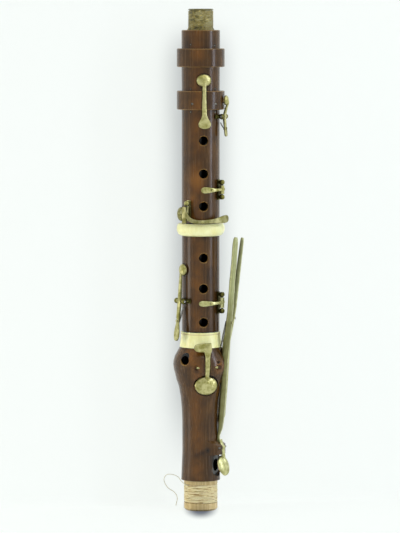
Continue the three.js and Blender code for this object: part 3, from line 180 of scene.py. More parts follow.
def makeStainedBoxwood():
    material, tree = startMaterial("stained boxwood")
    plain = millimetres(tree)
    drawn = millimetres(tree, (1, 1, boxwood["streakStretch"]))
    streaks = add(tree, "noise", {
        "Vector": drawn, "Scale": 1 / boxwood["streakWidth"], "Detail": 5, "Roughness": 0.6,
    })
    fibres = add(tree, "noise", {
        "Vector": drawn, "Scale": 1 / boxwood["fibreWidth"], "Detail": 2, "Roughness": 0.5,
    })
    patches = add(tree, "noise", {
        "Vector": plain, "Scale": 1 / boxwood["patch"], "Detail": 3, "Roughness": 0.5,
    })
    tone = add(tree, "sum", [
        add(tree, "multiply", [streaks, 0.5]), add(tree, "multiply", [patches, 0.5]),
    ])
    colour = add(tree, "ramp", [tone], stops=boxwood["stops"])
    # the front is rubbed bare along one side of the finger holes
    parts = add(tree, "ShaderNodeSeparateXYZ", {"Vector": plain})
    offset = add(tree, "absolute", [
        add(tree, "difference", [parts.outputs["X"], boxwood["rubbedSide"]]),
    ])
    stripe = add(tree, "range", [offset, boxwood["rubbedWidth"], 0])
    front = add(tree, "range", [parts.outputs["Y"], *boxwood["rubbedFront"]])
    worn = add(tree, "multiply", [
        add(tree, "multiply", [stripe, front]),
        add(tree, "range", [patches, *boxwood["rubbedPatches"]]),
    ])
    colour = add(tree, "mix", {0: worn, 6: colour, 7: linear(boxwood["rubbed"])})
    # turned edges and rims of holes are worn pale
    edge = add(tree, "ShaderNodeAttribute", attribute_name="worn").outputs["Fac"]
    pale = add(tree, "multiply", [edge, add(tree, "range", [patches, *boxwood["rimPatches"]])])
    colour = add(tree, "mix", {0: pale, 6: colour, 7: linear(boxwood["rim"])})
    # the stain stops at the shoulder of the bell tenon
    bare = add(tree, "mix", {
        0: add(tree, "range", [streaks, *boxwood["bareStreaks"]]),
        6: linear(boxwood["bareDark"]), 7: linear(boxwood["bare"]),
    })
    unstained = add(tree, "range", [parts.outputs["Z"], *boxwood["tenonTop"]])
    colour = add(tree, "mix", {0: unstained, 6: colour, 7: bare})
    # the lip of the top tenon is green with grease
    lip = add(tree, "greaterThan", [parts.outputs["Z"], boxwood["lipFrom"]])
    colour = add(tree, "mix", {0: lip, 6: colour, 7: linear(boxwood["lip"])})
    # fine specks of grime
    grains = add(tree, "noise", {
        "Vector": plain, "Scale": 1 / boxwood["dust"], "Detail": 4, "Roughness": 0.7,
    })
    dust = add(tree, "multiply", [
        add(tree, "range", [grains, *boxwood["dustRange"]]), boxwood["dustShare"],
    ])
    colour = add(tree, "mix", {0: dust, 6: colour, 7: linear(boxwood["grime"])})
    # the stain is worn through in places
    for x, y, z, size in boxwood["bald"]:
        away = add(tree, "distance", [plain, (x, y, z)])
        near = add(tree, "multiply", [
            add(tree, "range", [away, *(size * share for share in boxwood["baldEdge"])]),
            add(tree, "range", [patches, *boxwood["baldPatches"]]),
        ])
        colour = add(tree, "mix", {0: near, 6: colour, 7: linear(boxwood["baldColour"])})
    # dirt has gathered beside the lowest key and in a few other spots, and the seat of the
    # lowest key is darkened as painted shade under its open cup
    for x, y, z, size, strength in boxwood["sootAndShade"]:
        away = add(tree, "distance", [plain, (x, y, z)])
        near = add(tree, "range", [away, size, size / 3, 0, strength])
        colour = add(tree, "mix", {0: near, 6: colour, 7: linear(boxwood["inside"])})
    # small pricks beside the rings, each dark round a pale middle
    for angle, reach, z in boxwood["pricks"]:
        turn = math.radians(angle)
        place = (reach * math.sin(turn), -reach * math.cos(turn), z)
        away = add(tree, "distance", [plain, place])
        near = add(tree, "range", [away, *boxwood["prickDark"]])
        colour = add(tree, "mix", {0: near, 6: colour, 7: linear(boxwood["inside"])})
        middle = add(tree, "range", [away, *boxwood["prickMiddle"]])
        colour = add(tree, "mix", {0: middle, 6: colour, 7: linear(boxwood["prickLight"])})
    # painted shade: the bore, the walls of the holes and the inside of the stock hole
    # are painted near black
    level = add(tree, "ShaderNodeCombineXYZ", [parts.outputs["X"], parts.outputs["Y"]])
    reach = add(tree, "length", [level])
    along = add(tree, "multiply", [
        add(tree, "greaterThan", [parts.outputs["Z"], boxwood["holesFrom"]]),
        add(tree, "lessThan", [parts.outputs["Z"], boxwood["holesTo"]]),
    ])
    hidden = add(tree, "maximum", [
        add(tree, "lessThan", [reach, boxwood["boreReach"]]),
        add(tree, "multiply", [along, add(tree, "lessThan", [reach, boxwood["holeReach"]])]),
    ])
    away = add(tree, "distance", [plain, boxwood["stockHole"]])
    hidden = add(tree, "maximum", [
        hidden, add(tree, "lessThan", [away, boxwood["stockHoleReach"]]),
    ])
    colour = add(tree, "mix", {0: hidden, 6: colour, 7: linear(boxwood["inside"])})
    add(tree, "ShaderNodeOutputMaterial", {
        "Surface": add(tree, "ShaderNodeBsdfPrincipled", {
            "Base Color": colour, "IOR": 1.5, "Specular IOR Level": boxwood["gloss"],
            "Roughness": add(tree, "range", [streaks, *boxwood["roughness"]]),
            "Normal": add(tree, "bump", {
                "Height": fibres, "Distance": boxwood["fibreDepth"] * mm, "Strength": 0.5,
            }),
        }),
    })
    return material


# Ivory, turned and polished: warm cream, faint growth lines along the tusk, a soft deep
# glow, and brown dirt in its fine cracks
ivory = {
    "stops": [(0.35, "#e9e49d"), (0.6, "#f4f3bd")], "lineWidth": 0.9, "lineStretch": 0.12,
    "patch": 6, "roughness": 0.28, "depth": 0.8, "lineDepth": 0.02,
    "crack": "#9a8545", "crackWidth": 0.5, "crackStretch": 0.08, "crackRange": (0.66, 0.74),
    "crackShare": 0.4,
    "lipShade": "#b49c5c", "lipShadeHeight": 118.4, "lipShadeEdge": (0.45, 0.15),
    "lipShadePatches": (0.3, 0.5, 0.4, 0.7),
}


def makeIvory():
    material, tree = startMaterial("turned ivory")
    plain = millimetres(tree)
    lines = add(tree, "noise", {
        "Vector": millimetres(tree, (1, 1, ivory["lineStretch"])),
        "Scale": 1 / ivory["lineWidth"], "Detail": 3, "Roughness": 0.5,
    })
    patches = add(tree, "noise", {
        "Vector": plain, "Scale": 1 / ivory["patch"], "Detail": 3, "Roughness": 0.5,
    })
    tone = add(tree, "sum", [
        add(tree, "multiply", [lines, 0.35]), add(tree, "multiply", [patches, 0.65]),
    ])
    colour = add(tree, "ramp", [tone], stops=ivory["stops"])
    cracks = add(tree, "noise", {
        "Vector": millimetres(tree, (1, 1, ivory["crackStretch"])),
        "Scale": 1 / ivory["crackWidth"], "Detail": 4, "Roughness": 0.7,
    })
    dirt = add(tree, "multiply", [
        add(tree, "range", [cracks, *ivory["crackRange"]]), ivory["crackShare"],
    ])
    colour = add(tree, "mix", {0: dirt, 6: colour, 7: linear(ivory["crack"])})
    # painted shade: a soft brownish band, in patches, just below the lip of the lower ferrule
    level = add(tree, "ShaderNodeSeparateXYZ", {"Vector": plain}).outputs["Z"]
    away = add(tree, "absolute", [add(tree, "difference", [level, ivory["lipShadeHeight"]])])
    lipShade = add(tree, "multiply", [
        add(tree, "range", [away, *ivory["lipShadeEdge"]]),
        add(tree, "range", [patches, *ivory["lipShadePatches"]]),
    ])
    colour = add(tree, "mix", {0: lipShade, 6: colour, 7: linear(ivory["lipShade"])})
    add(tree, "ShaderNodeOutputMaterial", {
        "Surface": add(tree, "ShaderNodeBsdfPrincipled", {
            "Base Color": colour, "Roughness": ivory["roughness"], "IOR": 1.54,
            "Subsurface Weight": 0.15, "Subsurface Radius": (1.0, 0.8, 0.5),
            "Subsurface Scale": ivory["depth"] * mm,
            "Normal": add(tree, "bump", {
                "Height": lines, "Distance": ivory["lineDepth"] * mm, "Strength": 0.3,
            }),
        }),
    })
    return material


# Cast and filed brass, long unpolished: pale greenish yellow where fingers keep it
# bright, brown in spots, tarnish with painted shade on faces that turn sideways, and fine
# file marks along each key
brass = {
    "stops": [(0.36, "#8f8a4c"), (0.6, "#c8c28c")], "patch": 3.6, "roughness": (0.54, 0.38),
    "brown": "#453b1c", "spot": 0.9, "spotRange": (0.6, 0.78), "spotShare": 0.6,
    "side": "#504b2a", "sideRange": (0.4, 0.95, 0, 0.85),
    "scratch": 0.25, "scratchStretch": 0.1, "scratchDepth": 0.02,
}
# most saddles are never touched and have gone dark
saddleBrass = {**brass, "stops": [(0.36, "#4c4822"), (0.6, "#7d7840")], "side": "#2a2614"}
# the long levers are greyer, and the painted shade on their sides is paler higher up
leverBrass = {
    **brass, "stops": [(0.36, "#b4b384"), (0.6, "#d0d0a4")], "side": "#6a673c",
    "sideAbove": "#a3a678", "sideHeights": (122, 150), "sideRange": (0.36, 0.56, 0, 0.85),
}
# the F sharp lever keeps darker painted shade on its sides higher up too
edgeBrass = {**leverBrass, "sideAbove": "#7b7d5a"}
# a darker copy of the brass, as painted shade, for the C sharp lever whose cup faces left
shadedBrass = {**brass, "stops": [(0.36, "#787442"), (0.6, "#a8a376")], "side": "#403c1e"}
# the crossed levers are rubbed bright on their sides too
flapBrass = {**brass, "stops": [(0.36, "#a5a26a"), (0.6, "#d2d09a")], "side": "#b9b688"}


def makeBrass(name, look):
    material, tree = startMaterial(name)
    plain = millimetres(tree)
    patches = add(tree, "noise", {
        "Vector": plain, "Scale": 1 / look["patch"], "Detail": 4, "Roughness": 0.6,
    })
    colour = add(tree, "ramp", [patches], stops=look["stops"])
    spots = add(tree, "noise", {
        "Vector": plain, "Scale": 1 / look["spot"], "Detail": 4, "Roughness": 0.7,
    })
    stain = add(tree, "multiply", [
        add(tree, "range", [spots, *look["spotRange"]]), look["spotShare"],
    ])
    colour = add(tree, "mix", {0: stain, 6: colour, 7: linear(look["brown"])})
    # faces that turn sideways take the side colour: tarnish with painted shade
    side = add(tree, "ShaderNodeAttribute", attribute_name="side").outputs["Fac"]
    sideColour = linear(look["side"])
    if "sideAbove" in look:
        level = add(tree, "ShaderNodeSeparateXYZ", {"Vector": plain}).outputs["Z"]
        sideColour = add(tree, "mix", {
            0: add(tree, "range", [level, *look["sideHeights"]]),
            6: sideColour, 7: linear(look["sideAbove"]),
        })
    colour = add(tree, "mix", {
        0: add(tree, "range", [side, *look["sideRange"]]), 6: colour, 7: sideColour,
    })
    scratches = add(tree, "noise", {
        "Vector": millimetres(tree, (1, 1, look["scratchStretch"])),
        "Scale": 1 / look["scratch"], "Detail": 3, "Roughness": 0.6,
    })
    add(tree, "ShaderNodeOutputMaterial", {
        "Surface": add(tree, "ShaderNodeBsdfPrincipled", {
            "Base Color": colour, "Metallic": 1.0,
            "Roughness": add(tree, "range", [patches, 0.3, 0.7, *look["roughness"]]),
            "Normal": add(tree, "bump", {
                "Height": scratches, "Distance": look["scratchDepth"] * mm, "Strength": 0.35,
            }),
        }),
    })
    return material


# Drawn steel of pins and springs, blued and then darkened by age
steel = {
    "stops": [(0.38, "#4a4743"), (0.6, "#8d8a84")], "patch": 1.5, "roughness": 0.38,
    "pitDepth": 0.01,
}
rustedSteel = {**steel, "stops": [(0.38, "#2a2019"), (0.6, "#40352a")]}


def makeSteel(name, look):
    material, tree = startMaterial(name)
    plain = millimetres(tree)
    patches = add(tree, "noise", {
        "Vector": plain, "Scale": 1 / look["patch"], "Detail": 4, "Roughness": 0.6,
    })
    colour = add(tree, "ramp", [patches], stops=look["stops"])
    add(tree, "ShaderNodeOutputMaterial", {
        "Surface": add(tree, "ShaderNodeBsdfPrincipled", {
            "Base Color": colour, "Metallic": 1.0, "Roughness": look["roughness"],
            "Normal": add(tree, "bump", {
                "Height": patches, "Distance": look["pitDepth"] * mm, "Strength": 0.3,
            }),
        }),
    })
    return material


# Chamois leather of the pads: a matt tan with a fine nap
leather = {
    "stops": [(0.35, "#6d4d2a"), (0.6, "#b08a5a")], "patch": 2.5, "nap": 0.25,
    "napDepth": 0.08, "roughness": 0.85,
}


def makeLeather():
    material, tree = startMaterial("chamois leather")
    plain = millimetres(tree)
    patches = add(tree, "noise", {
        "Vector": plain, "Scale": 1 / leather["patch"], "Detail": 3, "Roughness": 0.6,
    })
    nap = add(tree, "noise", {
        "Vector": plain, "Scale": 1 / leather["nap"], "Detail": 3, "Roughness": 0.6,
    })
    colour = add(tree, "ramp", [patches], stops=leather["stops"])
    add(tree, "ShaderNodeOutputMaterial", {
        "Surface": add(tree, "ShaderNodeBsdfPrincipled", {
            "Base Color": colour, "Roughness": leather["roughness"], "Sheen Weight": 0.3,
            "Normal": add(tree, "bump", {
                "Height": nap, "Distance": leather["napDepth"] * mm, "Strength": 0.6,
            }),
        }),
    })
    return material


# Waxed linen thread: matt twisted fibres, brown where wax and dirt have gathered from
# turn to turn. The turns lie level, so the dirt is drawn out round the tenon.
thread = {
    "fibre": 0.14, "fibreDepth": 0.05, "fibreRange": (0.5, 0.35, 0, 0.35),
    "patch": 0.9, "around": 0.12, "roughness": 0.8,
}
freshThread = {**thread, "stops": [(0.33, "#9c7640"), (0.43, "#ebdaa0"), (0.58, "#fbf5cd")]}
oldThread = {**thread, "stops": [
    (0.34, "#6f4a1e"), (0.43, "#c4a064"), (0.5, "#efdfb0"), (0.68, "#f8ecc6")]}
looseThread = {**thread, "stops": [(0.3, "#a9a383"), (0.42, "#c5c0a4"), (0.6, "#dcd9c2")]}
greasedThread = {**thread, "patch": 1.6, "around": 0.5, "roughness": 0.55, "stops": [
    (0.3, "#2e2c17"), (0.42, "#5f5a2c"), (0.5, "#968438"), (0.58, "#8f8d68"), (0.68, "#d2bb62")]}


def makeThread(name, look):
    material, tree = startMaterial(name)
    patches = add(tree, "noise", {
        "Vector": millimetres(tree, (look["around"], look["around"], 1)),
        "Scale": 1 / look["patch"], "Detail": 4, "Roughness": 0.7,
    })
    colour = add(tree, "ramp", [patches], stops=look["stops"])
    fibres = add(tree, "noise", {
        "Vector": millimetres(tree), "Scale": 1 / look["fibre"], "Detail": 3, "Roughness": 0.6,
    })
    darkest = linear(look["stops"][0][1])
    colour = add(tree, "mix", {
        0: add(tree, "range", [fibres, *look["fibreRange"]]), 6: colour, 7: darkest,
    }, blend_type="MULTIPLY")
    add(tree, "ShaderNodeOutputMaterial", {
        "Surface": add(tree, "ShaderNodeBsdfPrincipled", {
            "Base Color": colour, "Roughness": look["roughness"], "Sheen Weight": 0.2,
            "Normal": add(tree, "bump", {
                "Height": fibres, "Distance": look["fibreDepth"] * mm, "Strength": 0.6,
            }),
        }),
    })
    return material


finishes = {
    "boxwood": makeStainedBoxwood(),
    "ivory": makeIvory(),
    "brass": makeBrass("filed brass", brass),
    "saddleBrass": makeBrass("tarnished brass", saddleBrass),
    "leverBrass": makeBrass("grey brass", leverBrass),
    "edgeBrass": makeBrass("dark grey brass", edgeBrass),
    "shadedBrass": makeBrass("dark brass", shadedBrass),
    "flapBrass": makeBrass("rubbed brass", flapBrass),
    "steel": makeSteel("drawn steel", steel),
    "darkSteel": makeSteel("rusted steel", rustedSteel),
    "leather": makeLeather(),
    "freshThread": makeThread("waxed linen thread", freshThread),
    "oldThread": makeThread("old linen thread", oldThread),
    "looseThread": makeThread("loose linen thread", looseThread),
    "greasedThread": makeThread("greased thread", greasedThread),
}
print("finishes made:", ", ".join(sorted(finishes)))


# Corners of a CAD node this close, in mm, are one corner
mergeWithin = 0.002


# A copy of a CAD node to work on
def copyNode(node):
    shape = bmesh.new()
    shape.from_mesh(frame["nodes"][node].data)
    bmesh.ops.remove_doubles(shape, verts=shape.verts, dist=mergeWithin * mm)
    return shape


# Makes the piece that replaces some CAD nodes and rides on their body
def finishPiece(name, shape, finish, nodes, body=None):
    mesh = bpy.data.meshes.new(name)
    shape.to_mesh(mesh)
    shape.free()
    piece = bpy.data.objects.new(name, mesh)
    bpy.context.scene.collection.objects.link(piece)
    mesh.materials.append(finishes[finish])
    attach(piece, body or body_of(frame["nodes"][nodes[0]])[0])
    if nodes:
        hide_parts(*nodes)
    return piece


# Smooth shading on faceted solids: a face that was turned about the bore takes the
# normals of the true round, and other faces share theirs up to a limit of angle.
# Each corner also gets a "side" value, from 0 facing outwards to 1 facing sideways.
smoothing = {"turnedLimit": 0.125, "turnedAngle": 38, "filedAngle": 52}


# The normal of a turned face, as its parts outwards and upwards
def turnedSlope(face):
    centre = face.calc_center_median() - bore
    reach = Vector((centre.x, centre.y, 0)).normalized()
    across = face.normal.dot(reach.cross(upward))
    if abs(across) > smoothing["turnedLimit"]:
        return None
    return Vector((face.normal.dot(reach), 0, face.normal.z)).normalized()


def smoothNormals(piece, turned=False):
    shape = bmesh.new()
    shape.from_mesh(piece.data)
    limit = math.cos(math.radians(smoothing["turnedAngle" if turned else "filedAngle"]))
    slopes = {face: turnedSlope(face) if turned else None for face in shape.faces}
    normals, sides = [], []
    for face in shape.faces:
        slope = slopes[face]
        for loop in face.loops:
            total = Vector()
            for other in loop.vert.link_faces:
                if (slope is None) != (slopes[other] is None):
                    continue
                match = slopes[other] or other.normal
                if match.dot(slope or face.normal) > limit:
                    total += match * other.calc_area()
            total.normalize()
            place = loop.vert.co - bore
            reach = Vector((place.x, place.y, 0)).normalized()
            if slope:
                total = reach * total.x + upward * total.z
            normals.append(total)
            sides.append(1 - max(0, total.dot(reach)))
    shape.free()
    layer = piece.data.attributes.new("side", "FLOAT", "CORNER")
    layer.data.foreach_set("value", sides)
    piece.data.shade_smooth()
    piece.data.normals_split_custom_set(normals)
    return piece


# The chamfers of the rings and shoulders are marked for the worn colour of the wood:
# faces that slant by so much and lie that close to one of the heights, in mm
wornEdges = {
    "slant": (0.3, 0.95), "closeness": 0.5,
    "upper_joint": (192.8, 267.8, 280.2, 296.0, 308.2, 320.4),
    "middle_joint": (120.4, 192.1), "stock": (20.3,),
}


def markWorn(piece, heights):
    layer = piece.data.attributes.new("worn", "FLOAT", "FACE")
    low, high = wornEdges["slant"]
    for face in piece.data.polygons:
        close = min(abs(face.center.z / mm - height) for height in heights)
        worn = low < abs(face.normal.z) < high and close < wornEdges["closeness"]
        layer.data[face.index].value = float(worn)


# Finger holes: angle from the front, height and radius in mm. Each has a smooth rim,
# rounded over and worn pale, set into the coarse edge of the CAD hole.
fingerHoles = {
    "upper_joint": [(0, 203.8, 3.05), (0, 225.4, 3.05), (0, 247.4, 3.05), (180, 252.8, 3.05)],
    "middle_joint": [(0, 126.6, 3.05), (0, 149.1, 3.05), (0, 169.6, 3.05)],
    "stock": [(-46, 102.0, 3.5)],
}
rimShape = {
    "segments": 64, "sample": 1.35, "outside": 40,
    "section": [(-0.1, -3.4), (-0.1, -0.7), (0.02, -0.3), (0.24, -0.06), (0.55, 0.03),
                (0.75, -0.25), (0.75, -3.4)],
}


# A ring of that section round one hole, laid on the tube where a ray finds it
def holeRim(shape, tree, angle, height, radius):
    turn = Matrix.Rotation(math.radians(angle), 3, "Z")
    out, side = turn @ Vector((0, -1, 0)), turn @ Vector((1, 0, 0))
    centre = bore + upward * height * mm
    loops = []
    for grow, lift in rimShape["section"]:
        made = bmesh.ops.create_circle(shape, segments=rimShape["segments"], radius=1.0)["verts"]
        for vertex in made:
            way = vertex.co.copy()
            far = centre + (side * way.x + upward * way.y) * radius * rimShape["sample"] * mm
            hit = tree.ray_cast(far + out * rimShape["outside"] * mm, -out)[0]
            tube = math.hypot((hit - centre).dot(side), (hit - centre).dot(out))
            across, rise = way.x * (radius + grow) * mm, way.y * (radius + grow) * mm
            reach = math.sqrt(tube ** 2 - across ** 2) + lift * mm
            vertex.co = centre + side * across + upward * rise + out * reach
        loops.append([edge for vertex in made for edge in vertex.link_edges])
    for first, second in zip(loops, loops[1:] + loops[:1]):
        bmesh.ops.bridge_loops(shape, edges=list({*first, *second}))


def addHoleRims(node):
    source = copyNode(node)
    tree = BVHTree.FromBMesh(source)
    source.free()
    shape = bmesh.new()
    for hole in fingerHoles[node]:
        holeRim(shape, tree, *hole)
    bmesh.ops.recalc_face_normals(shape, faces=shape.faces)
    rims = finishPiece(node + "_rims", shape, "boxwood", [], "body")
    rims.data.shade_smooth()
    layer = rims.data.attributes.new("worn", "FLOAT", "FACE")
    for face in layer.data:
        face.value = 1.0


for node in ("upper_joint", "middle_joint", "stock"):
    piece = finishPiece(node + "_wood", copyNode(node), "boxwood", [node])
    smoothNormals(piece, turned=True)
    markWorn(piece, wornEdges[node])
    addHoleRims(node)

for node in ("upper_ferrule", "lower_ferrule"):
    piece = finishPiece(node + "_ivory", copyNode(node), "ivory", [node])
    smoothNormals(piece, turned=True)
print("wood and ivory dressed")


# The cup of a key: a smooth dome over the faceted one and an upright skirt, with a
# ridge on the side of the arm. Sizes are in mm, and the others are shares of the dome.
cupCover = {
    "segments": 96, "rings": 48, "overPad": 1.0, "proud": 0.05, "skirt": 0.5,
    "facing": 0.9, "within": 1.02, "below": 3, "topRing": 0.9686, "farFromArm": 0.1,
    "cut": 0.2, "foot": 0.01, "ridgeHalf": 1.4, "ridgeHeight": 0.45, "ridgeFade": 3,
}


# A pad's middle, its axes outwards, sideways and up, and its half width and height
def padPlace(node):
    shape = copyNode(node)
    middle = sum((vertex.co for vertex in shape.verts), Vector()) / len(shape.verts)
    way = Vector((middle.x - bore.x, middle.y - bore.y, 0)).normalized()
    out = sum((face.normal * face.calc_area() for face in shape.faces
               if face.normal.dot(way) > cupCover["facing"]), Vector()).normalized()
    side = out.cross(upward).normalized()
    rise = side.cross(out)
    reach = [max(abs((vertex.co - middle).dot(axis)) for vertex in shape.verts)
             for axis in (side, rise)]
    shape.free()
    return middle, out, side, rise, reach


# Fills the open end of a smooth surface, sunk by some way, so that it is a closed body
def closeCover(shape, verts, sunk=None):
    edges = list({edge for vertex in verts for edge in vertex.link_edges if edge.is_boundary})
    if sunk:
        made = bmesh.ops.extrude_edge_only(shape, edges=edges)["geom"]
        edges = [part for part in made if isinstance(part, bmesh.types.BMEdge)
                 and part.is_boundary]
        moved = [part for part in made if isinstance(part, bmesh.types.BMVert)]
        bmesh.ops.translate(shape, verts=moved, vec=sunk)
    bmesh.ops.holes_fill(shape, edges=edges, sides=0)


def coverCup(shape, key):
    middle, out, side, rise, reach = padPlace(key + "_pad")
    half = [value + (cupCover["overPad"] + cupCover["proud"]) * mm for value in reach]
    pin = frame["nodes"][key + "_pin"].data.vertices
    arm = sum((vertex.co for vertex in pin), Vector()) / len(pin) - middle
    arm = Vector((-arm.dot(side), arm.dot(rise))).normalized()
    places = [Vector((-(vertex.co - middle).dot(side) / half[0],
                      (vertex.co - middle).dot(rise) / half[1],
                      (vertex.co - middle).dot(out))) for vertex in shape.verts]
    places = [place for place in places
              if place.xy.length < cupCover["within"] and place.z > -cupCover["below"] * mm]
    rim = min(place.z for place in places)
    skirt = rim + cupCover["skirt"] * mm
    # the side away from the shaft shows the top ring of the faceted dome
    top = max(place.z for place in places if place.xy.dot(arm) < -cupCover["farFromArm"])
    height = (top - skirt) / cupCover["topRing"] + cupCover["proud"] * mm
    dome = bmesh.ops.create_uvsphere(
        shape, u_segments=cupCover["segments"], v_segments=cupCover["rings"], radius=1)["verts"]
    hidden = [vertex for vertex in dome if vertex.co.z < -cupCover["cut"]]
    kept = [vertex for vertex in dome if vertex.co.z >= -cupCover["cut"]]
    bmesh.ops.delete(shape, geom=hidden, context="VERTS")
    for vertex in kept:
        x, y, z = vertex.co
        level, spread = skirt + z * height, 1
        if z <= -cupCover["foot"]:
            level, spread = rim + cupCover["proud"] * mm, 1 / math.hypot(x, y)
        along, across = x * arm.x + y * arm.y, (x * arm.y - y * arm.x) * half[0] / mm
        ridge = max(0, 1 - (across / cupCover["ridgeHalf"]) ** 2) ** 0.5
        for share in (along, z):
            ridge *= min(1, max(0, share * cupCover["ridgeFade"]))
        level += ridge * cupCover["ridgeHeight"] * mm
        vertex.co = (middle - side * x * spread * half[0] + rise * y * spread * half[1]
                     + out * level)
    closeCover(shape, kept)
    print(key, "cup", [round(value / mm, 2) for value in (*half, height)],
          "arm", [round(value, 2) for value in arm])


# The balls that hold the ends of a pin: turned smooth, open where the pin ends show
ballCover = {"segments": 40, "rings": 28, "radius": 1.87, "inset": 1.6, "opening": 1.64}


def coverBalls(shape, key):
    joint = next(joint for joint in frame["joints"] if joint["name"] == key + "_hinge")
    axis = Vector(joint["axis"]).normalized()
    pin = [vertex.co for vertex in frame["nodes"][key + "_pin"].data.vertices]
    middle = sum(pin, Vector()) / len(pin)
    half = max((place - middle).dot(axis) for place in pin)
    for way in (-1, 1):
        centre = middle + axis * way * (half - ballCover["inset"] * mm)
        turn = axis.to_track_quat("Z", "Y").to_matrix().to_4x4()
        ball = bmesh.ops.create_uvsphere(
            shape, u_segments=ballCover["segments"], v_segments=ballCover["rings"],
            radius=ballCover["radius"] * mm, matrix=Matrix.Translation(centre) @ turn)["verts"]
        opened = {vertex for vertex in ball
                  if (vertex.co - centre).dot(axis) * way > ballCover["opening"] * mm}
        kept = [vertex for vertex in ball if vertex not in opened]
        bmesh.ops.delete(shape, geom=list(opened), context="VERTS")
        closeCover(shape, kept, axis * -way * mm)


# The head of the rivet that holds a spring is brass: its reach and depth in mm
rivetHead = {"reach": 2.1, "depth": 0.7}


def brassRivet(piece):
    piece.data.materials.append(finishes["brass"])

    def reach(place):
        return math.hypot(place.x - bore.x, place.y - bore.y)

    head = max((vertex.co for vertex in piece.data.vertices), key=reach)
    for face in piece.data.polygons:
        near = (face.center - head).length < rivetHead["reach"] * mm
        if near and reach(face.center) > reach(head) - rivetHead["depth"] * mm:
            face.material_index = 1


# Painted shade, with tarnish: the longest lever is darkened along the side that faces the
# finger holes: how far across it each corner lies, measured from its far side, in slices of so
# many mm
nearSide = {"lever": "e_natural_lever", "slice": 5.0, "narrowest": 0.001}


def darkenNearSide(piece):
    places = [vertex.co - bore for vertex in piece.data.vertices]
    turns = [math.atan2(place.x, -place.y) for place in places]
    levels = [round(place.z / mm / nearSide["slice"]) for place in places]
    spans = {}
    for level, turn in zip(levels, turns):
        for close in (level - 1, level, level + 1):
            low, high = spans.get(close, (turn, turn))
            spans[close] = (min(low, turn), max(high, turn))
    layer = piece.data.attributes["side"]
    for loop in piece.data.loops:
        low, high = spans[levels[loop.vertex_index]]
        share = (high - turns[loop.vertex_index]) / max(high - low, nearSide["narrowest"])
        layer.data[loop.index].value = max(layer.data[loop.index].value, share)


# Levers, saddles and pins that differ from the others of their kind
ownFinishes = {
    "e_natural_lever": "leverBrass", "f_sharp_lever": "edgeBrass",
    "e_natural_flap_lever": "flapBrass", "right_cross_lever": "flapBrass",
    "c_sharp_lever": "shadedBrass", "c_sharp_saddle": "brass",
    "e_natural_pin": "darkSteel", "f_sharp_pin": "darkSteel", "a_flat_pin": "flapBrass",
}
for node in sorted(frame["nodes"]):
    if node.endswith("_lever"):
        shape = copyNode(node)
        key = node[:-len("_lever")]
        if key + "_pad" in frame["nodes"]:
            coverCup(shape, key)
        finish = ownFinishes.get(node, "brass")
        piece = smoothNormals(finishPiece(node + "_brass", shape, finish, [node]))
        if node == nearSide["lever"]:
            darkenNearSide(piece)
    elif node.endswith("_saddle"):
        shape = copyNode(node)
        coverBalls(shape, node[:-len("_saddle")])
        finish = ownFinishes.get(node, "saddleBrass")
        smoothNormals(finishPiece(node + "_brass", shape, finish, [node]))
    elif node.endswith("_pin"):
        finish = ownFinishes.get(node, "steel")
        smoothNormals(finishPiece(node + "_steel", copyNode(node), finish, [node]))
    elif node.endswith("_spring"):
        piece = finishPiece(node + "_steel", copyNode(node), "steel", [node])
        brassRivet(smoothNormals(piece))
    elif node.endswith("_pad"):
        smoothNormals(finishPiece(node + "_leather", copyNode(node), "leather", [node]))
print("keys dressed")


# A round strand of thread along a line of places
def makeStrand(name, places, diameter, roundness):
    data = bpy.data.curves.new(name, "CURVE")
    data.dimensions = "3D"
    data.bevel_depth = diameter / 2 * mm
    data.bevel_resolution = roundness
    data.use_fill_caps = True
    strand = data.splines.new("POLY")
    strand.points.add(len(places) - 1)
    for point, place in zip(strand.points, places):
        point.co = (*place, 1)
    return bpy.data.objects.new(name, data)


# Thread wound on the tenons, in mm: heights and radius of its middle line, its flare
# at the foot, its thickness, the height of a turn, and how unevenly the turns lie.
# Where no height or radius is given, the winding fills the CAD node.
windings = {
    "bell_tenon_thread_core": {
        "from": 5.3, "to": 17.4, "radius": 10.62, "thread": 0.5, "pitch": 0.47,
        "uneven": 0.12, "finish": "oldThread", "slot": "thread_core"},
    "bell_tenon_thread": {
        "from": 5.7, "to": 17.04, "radius": 11.05, "thread": 0.6, "pitch": 1.05,
        "uneven": 0.16, "finish": "freshThread", "slot": "thread"},
    "top_tenon_lapping": {
        "from": 320.3, "to": 333.3, "radius": 8.15, "flare": 0.85, "flareHeight": 1.9,
        "thread": 0.5, "pitch": 0.44, "uneven": 0.1, "finish": "greasedThread", "slot": "thread"},
    "upper_tenon_lapping": {
        "thread": 0.6, "pitch": 0.55, "uneven": 0.05, "finish": "oldThread", "slot": "thread"},
    "middle_tenon_lapping": {
        "thread": 0.6, "pitch": 0.55, "uneven": 0.05, "finish": "oldThread", "slot": "thread"},
}
# Steps to a turn and to a change of its sway, and the share of the sway that goes outwards
winder = {"steps": 28, "swaySteps": 9, "swayDepth": 0.3, "flareCurve": 1.5, "roundness": 1}


